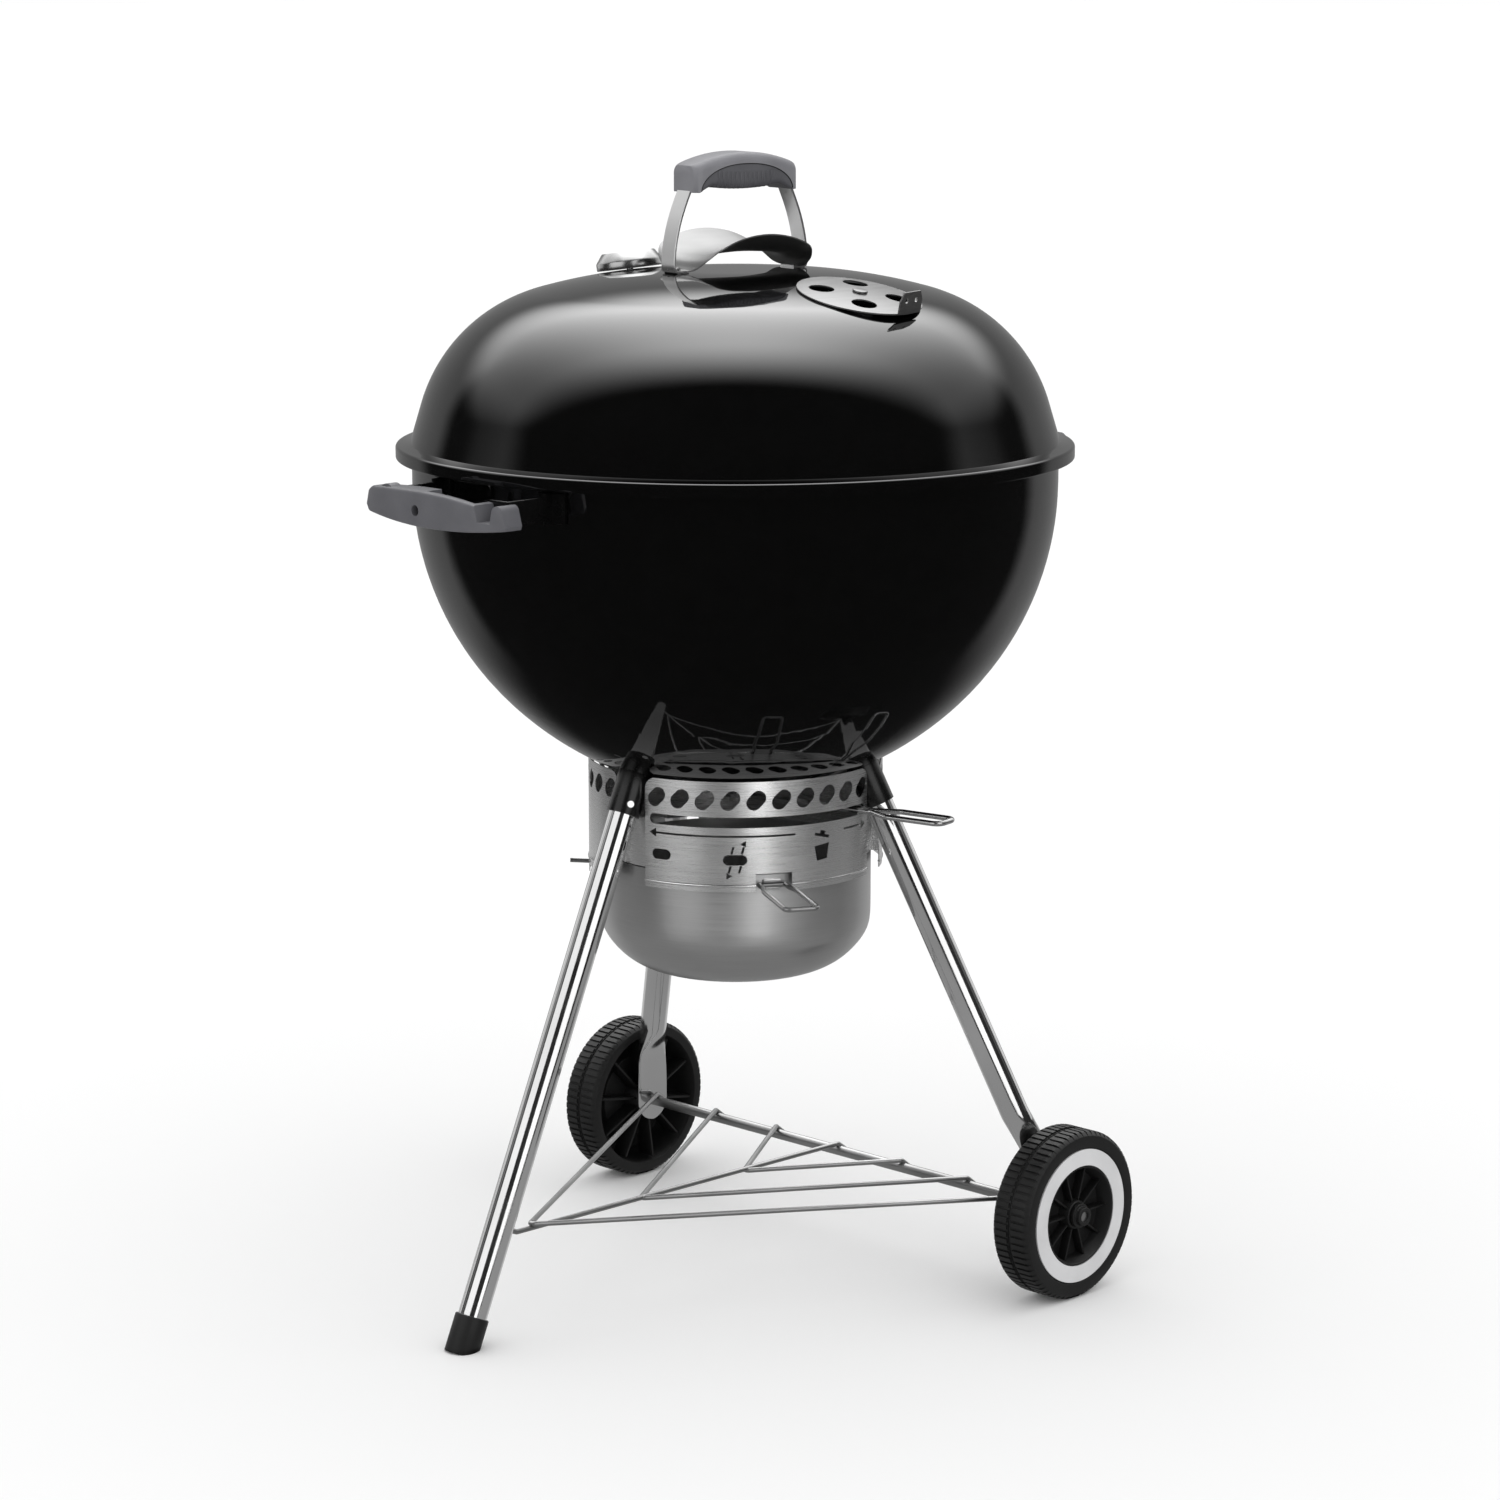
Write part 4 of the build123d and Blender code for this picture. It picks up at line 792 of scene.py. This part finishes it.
def w_math(op, *values):
    n = wn.new("ShaderNodeMath")
    n.operation = op
    for i, v in enumerate(values):
        if isinstance(v, (int, float)):
            n.inputs[i].default_value = v
        else:
            wl.new(v, n.inputs[i])
    return n.outputs[0]


def w_step(value, low, high, to_low=0.0, to_high=1.0):
    n = wn.new("ShaderNodeMapRange")
    n.interpolation_type = "SMOOTHSTEP"
    for key, v in (("From Min", low), ("From Max", high), ("To Min", to_low), ("To Max", to_high)):
        n.inputs[key].default_value = v
    wl.new(value, n.inputs["Value"])
    return n.outputs["Result"]


def w_dot(vector, axis):
    n = wn.new("ShaderNodeVectorMath")
    n.operation = "DOT_PRODUCT"
    wl.new(vector, n.inputs[0])
    n.inputs[1].default_value = axis
    return n.outputs["Value"]


BACK = radians(134.0)
PER_RADIAN = 57.2958
WALL_LEVEL, SCRIM_LEVEL, ROOM_LEVEL = 0.264, 4.0, 0.0224
EYE_LEVEL, MATT_LEVEL = 1.0, 1.16
sky = wn.new("ShaderNodeTexCoord").outputs["Generated"]
back = w_dot(sky, (cos(BACK), sin(BACK), 0))
side = w_math("ABSOLUTE", w_dot(sky, (-sin(BACK), cos(BACK), 0)))
up = w_dot(sky, (0, 0, 1))
turn = w_math("MULTIPLY", w_math("ARCTAN2", side, back), PER_RADIAN)
lift = w_math("MULTIPLY", w_math("ARCTAN2", up, back), PER_RADIAN)
rise = w_math("MULTIPLY", w_math("ARCSINE", up), PER_RADIAN)
wall = w_math("MULTIPLY", w_step(turn, 46, 58, 1.0, 0.0), w_step(rise, 26, 40, 1.0, 0.0))
wall = w_math("MULTIPLY", wall, w_step(rise, -42, -20))
scrim = w_math("MULTIPLY", w_step(lift, 20, 42), w_step(lift, 80, 118, 1.0, 0.0))
scrim = w_math("MULTIPLY", scrim, w_step(side, 0.0, 0.9, 1.0, 0.14))
scrim = w_math("MULTIPLY", scrim, w_step(rise, 8, 30))
gloss = w_math("ADD", w_math("MULTIPLY", wall, WALL_LEVEL),
               w_math("MULTIPLY", scrim, SCRIM_LEVEL))
gloss = w_math("ADD", gloss, ROOM_LEVEL)
path = wn.new("ShaderNodeLightPath")
eye = path.outputs["Is Camera Ray"]
soft = w_math("ADD", w_math("MULTIPLY", eye, EYE_LEVEL),
              w_math("MULTIPLY", w_math("SUBTRACT", 1.0, eye), MATT_LEVEL))
pick = wn.new("ShaderNodeMix")
pick.data_type = "FLOAT"
wl.new(path.outputs["Is Glossy Ray"], pick.inputs[0])
wl.new(soft, pick.inputs[2])
wl.new(gloss, pick.inputs[3])
bg = wn.new("ShaderNodeBackground")
bg.inputs["Color"].default_value = (1, 1, 1, 1)
wl.new(pick.outputs[0], bg.inputs["Strength"])
wl.new(bg.outputs[0], wn.new("ShaderNodeOutputWorld").inputs["Surface"])

# Fill cards that light the metals and plastics, not the enamel.
fill_set = bpy.data.collections.new("lit_by_fill")
ash_set = bpy.data.collections.new("ash_metal")
for node in ("ash_ring", "ash_bucket"):
    ash_set.objects.link(NODES[node])
for obj in list(scene.objects):
    if obj.type == "MESH" and obj is not floor and "side_brackets" not in obj.name:
        if not any(m and m.name.startswith("black_enamel") for m in obj.data.materials):
            fill_set.objects.link(obj)


def lamp(name, at, target, size, power, size_y=None, lit=fill_set):
    """Area light in watts, unseen by the camera, that lights one collection."""
    data = bpy.data.lights.new(name, "AREA")
    data.shape = "RECTANGLE"
    data.size, data.size_y = size, size_y or size
    data.energy = power
    o = bpy.data.objects.new(name, data)
    o.location = at
    o.rotation_euler = (Vector(target) - Vector(at)).to_track_quat("-Z", "Y").to_euler()
    scene.collection.objects.link(o)
    o.visible_camera = False
    o.light_linking.receiver_collection = lit


def card(name, azimuth, distance, low, width, tall, radiance, lit=fill_set):
    """Big soft card standing round the object, its lower edge at height low."""
    at = polar(distance, azimuth, low + tall / 2)
    lamp(name, at, (0, 0, 0.55), width, radiance * pi * width * tall, tall, lit)


card("card_left", -93, 3.6, 0.1, 3.4, 3.0, 1.1)
card("card_right", -13, 3.6, 0.1, 2.8, 3.0, 1.4)
card("card_ash_main", -28, 3.4, 0.0, 1.1, 2.2, 4.6, ash_set)
card("card_ash_soft", -88, 3.4, 0.0, 2.0, 2.2, 1.3, ash_set)
card("card_back_left", 190, 4.2, 0.1, 3.0, 2.6, 0.6)
card("card_back_right", 85, 4.2, 0.1, 3.0, 2.6, 0.6)
lamp("card_top", (0.2, -0.2, 3.4), (0, 0, 0.6), 2.6, 0.8 * pi * 2.6 * 2.6)
lamp("card_floor", (0, 0, 0.003), (0, 0, 1), 4.0, 0.3 * pi * 16)
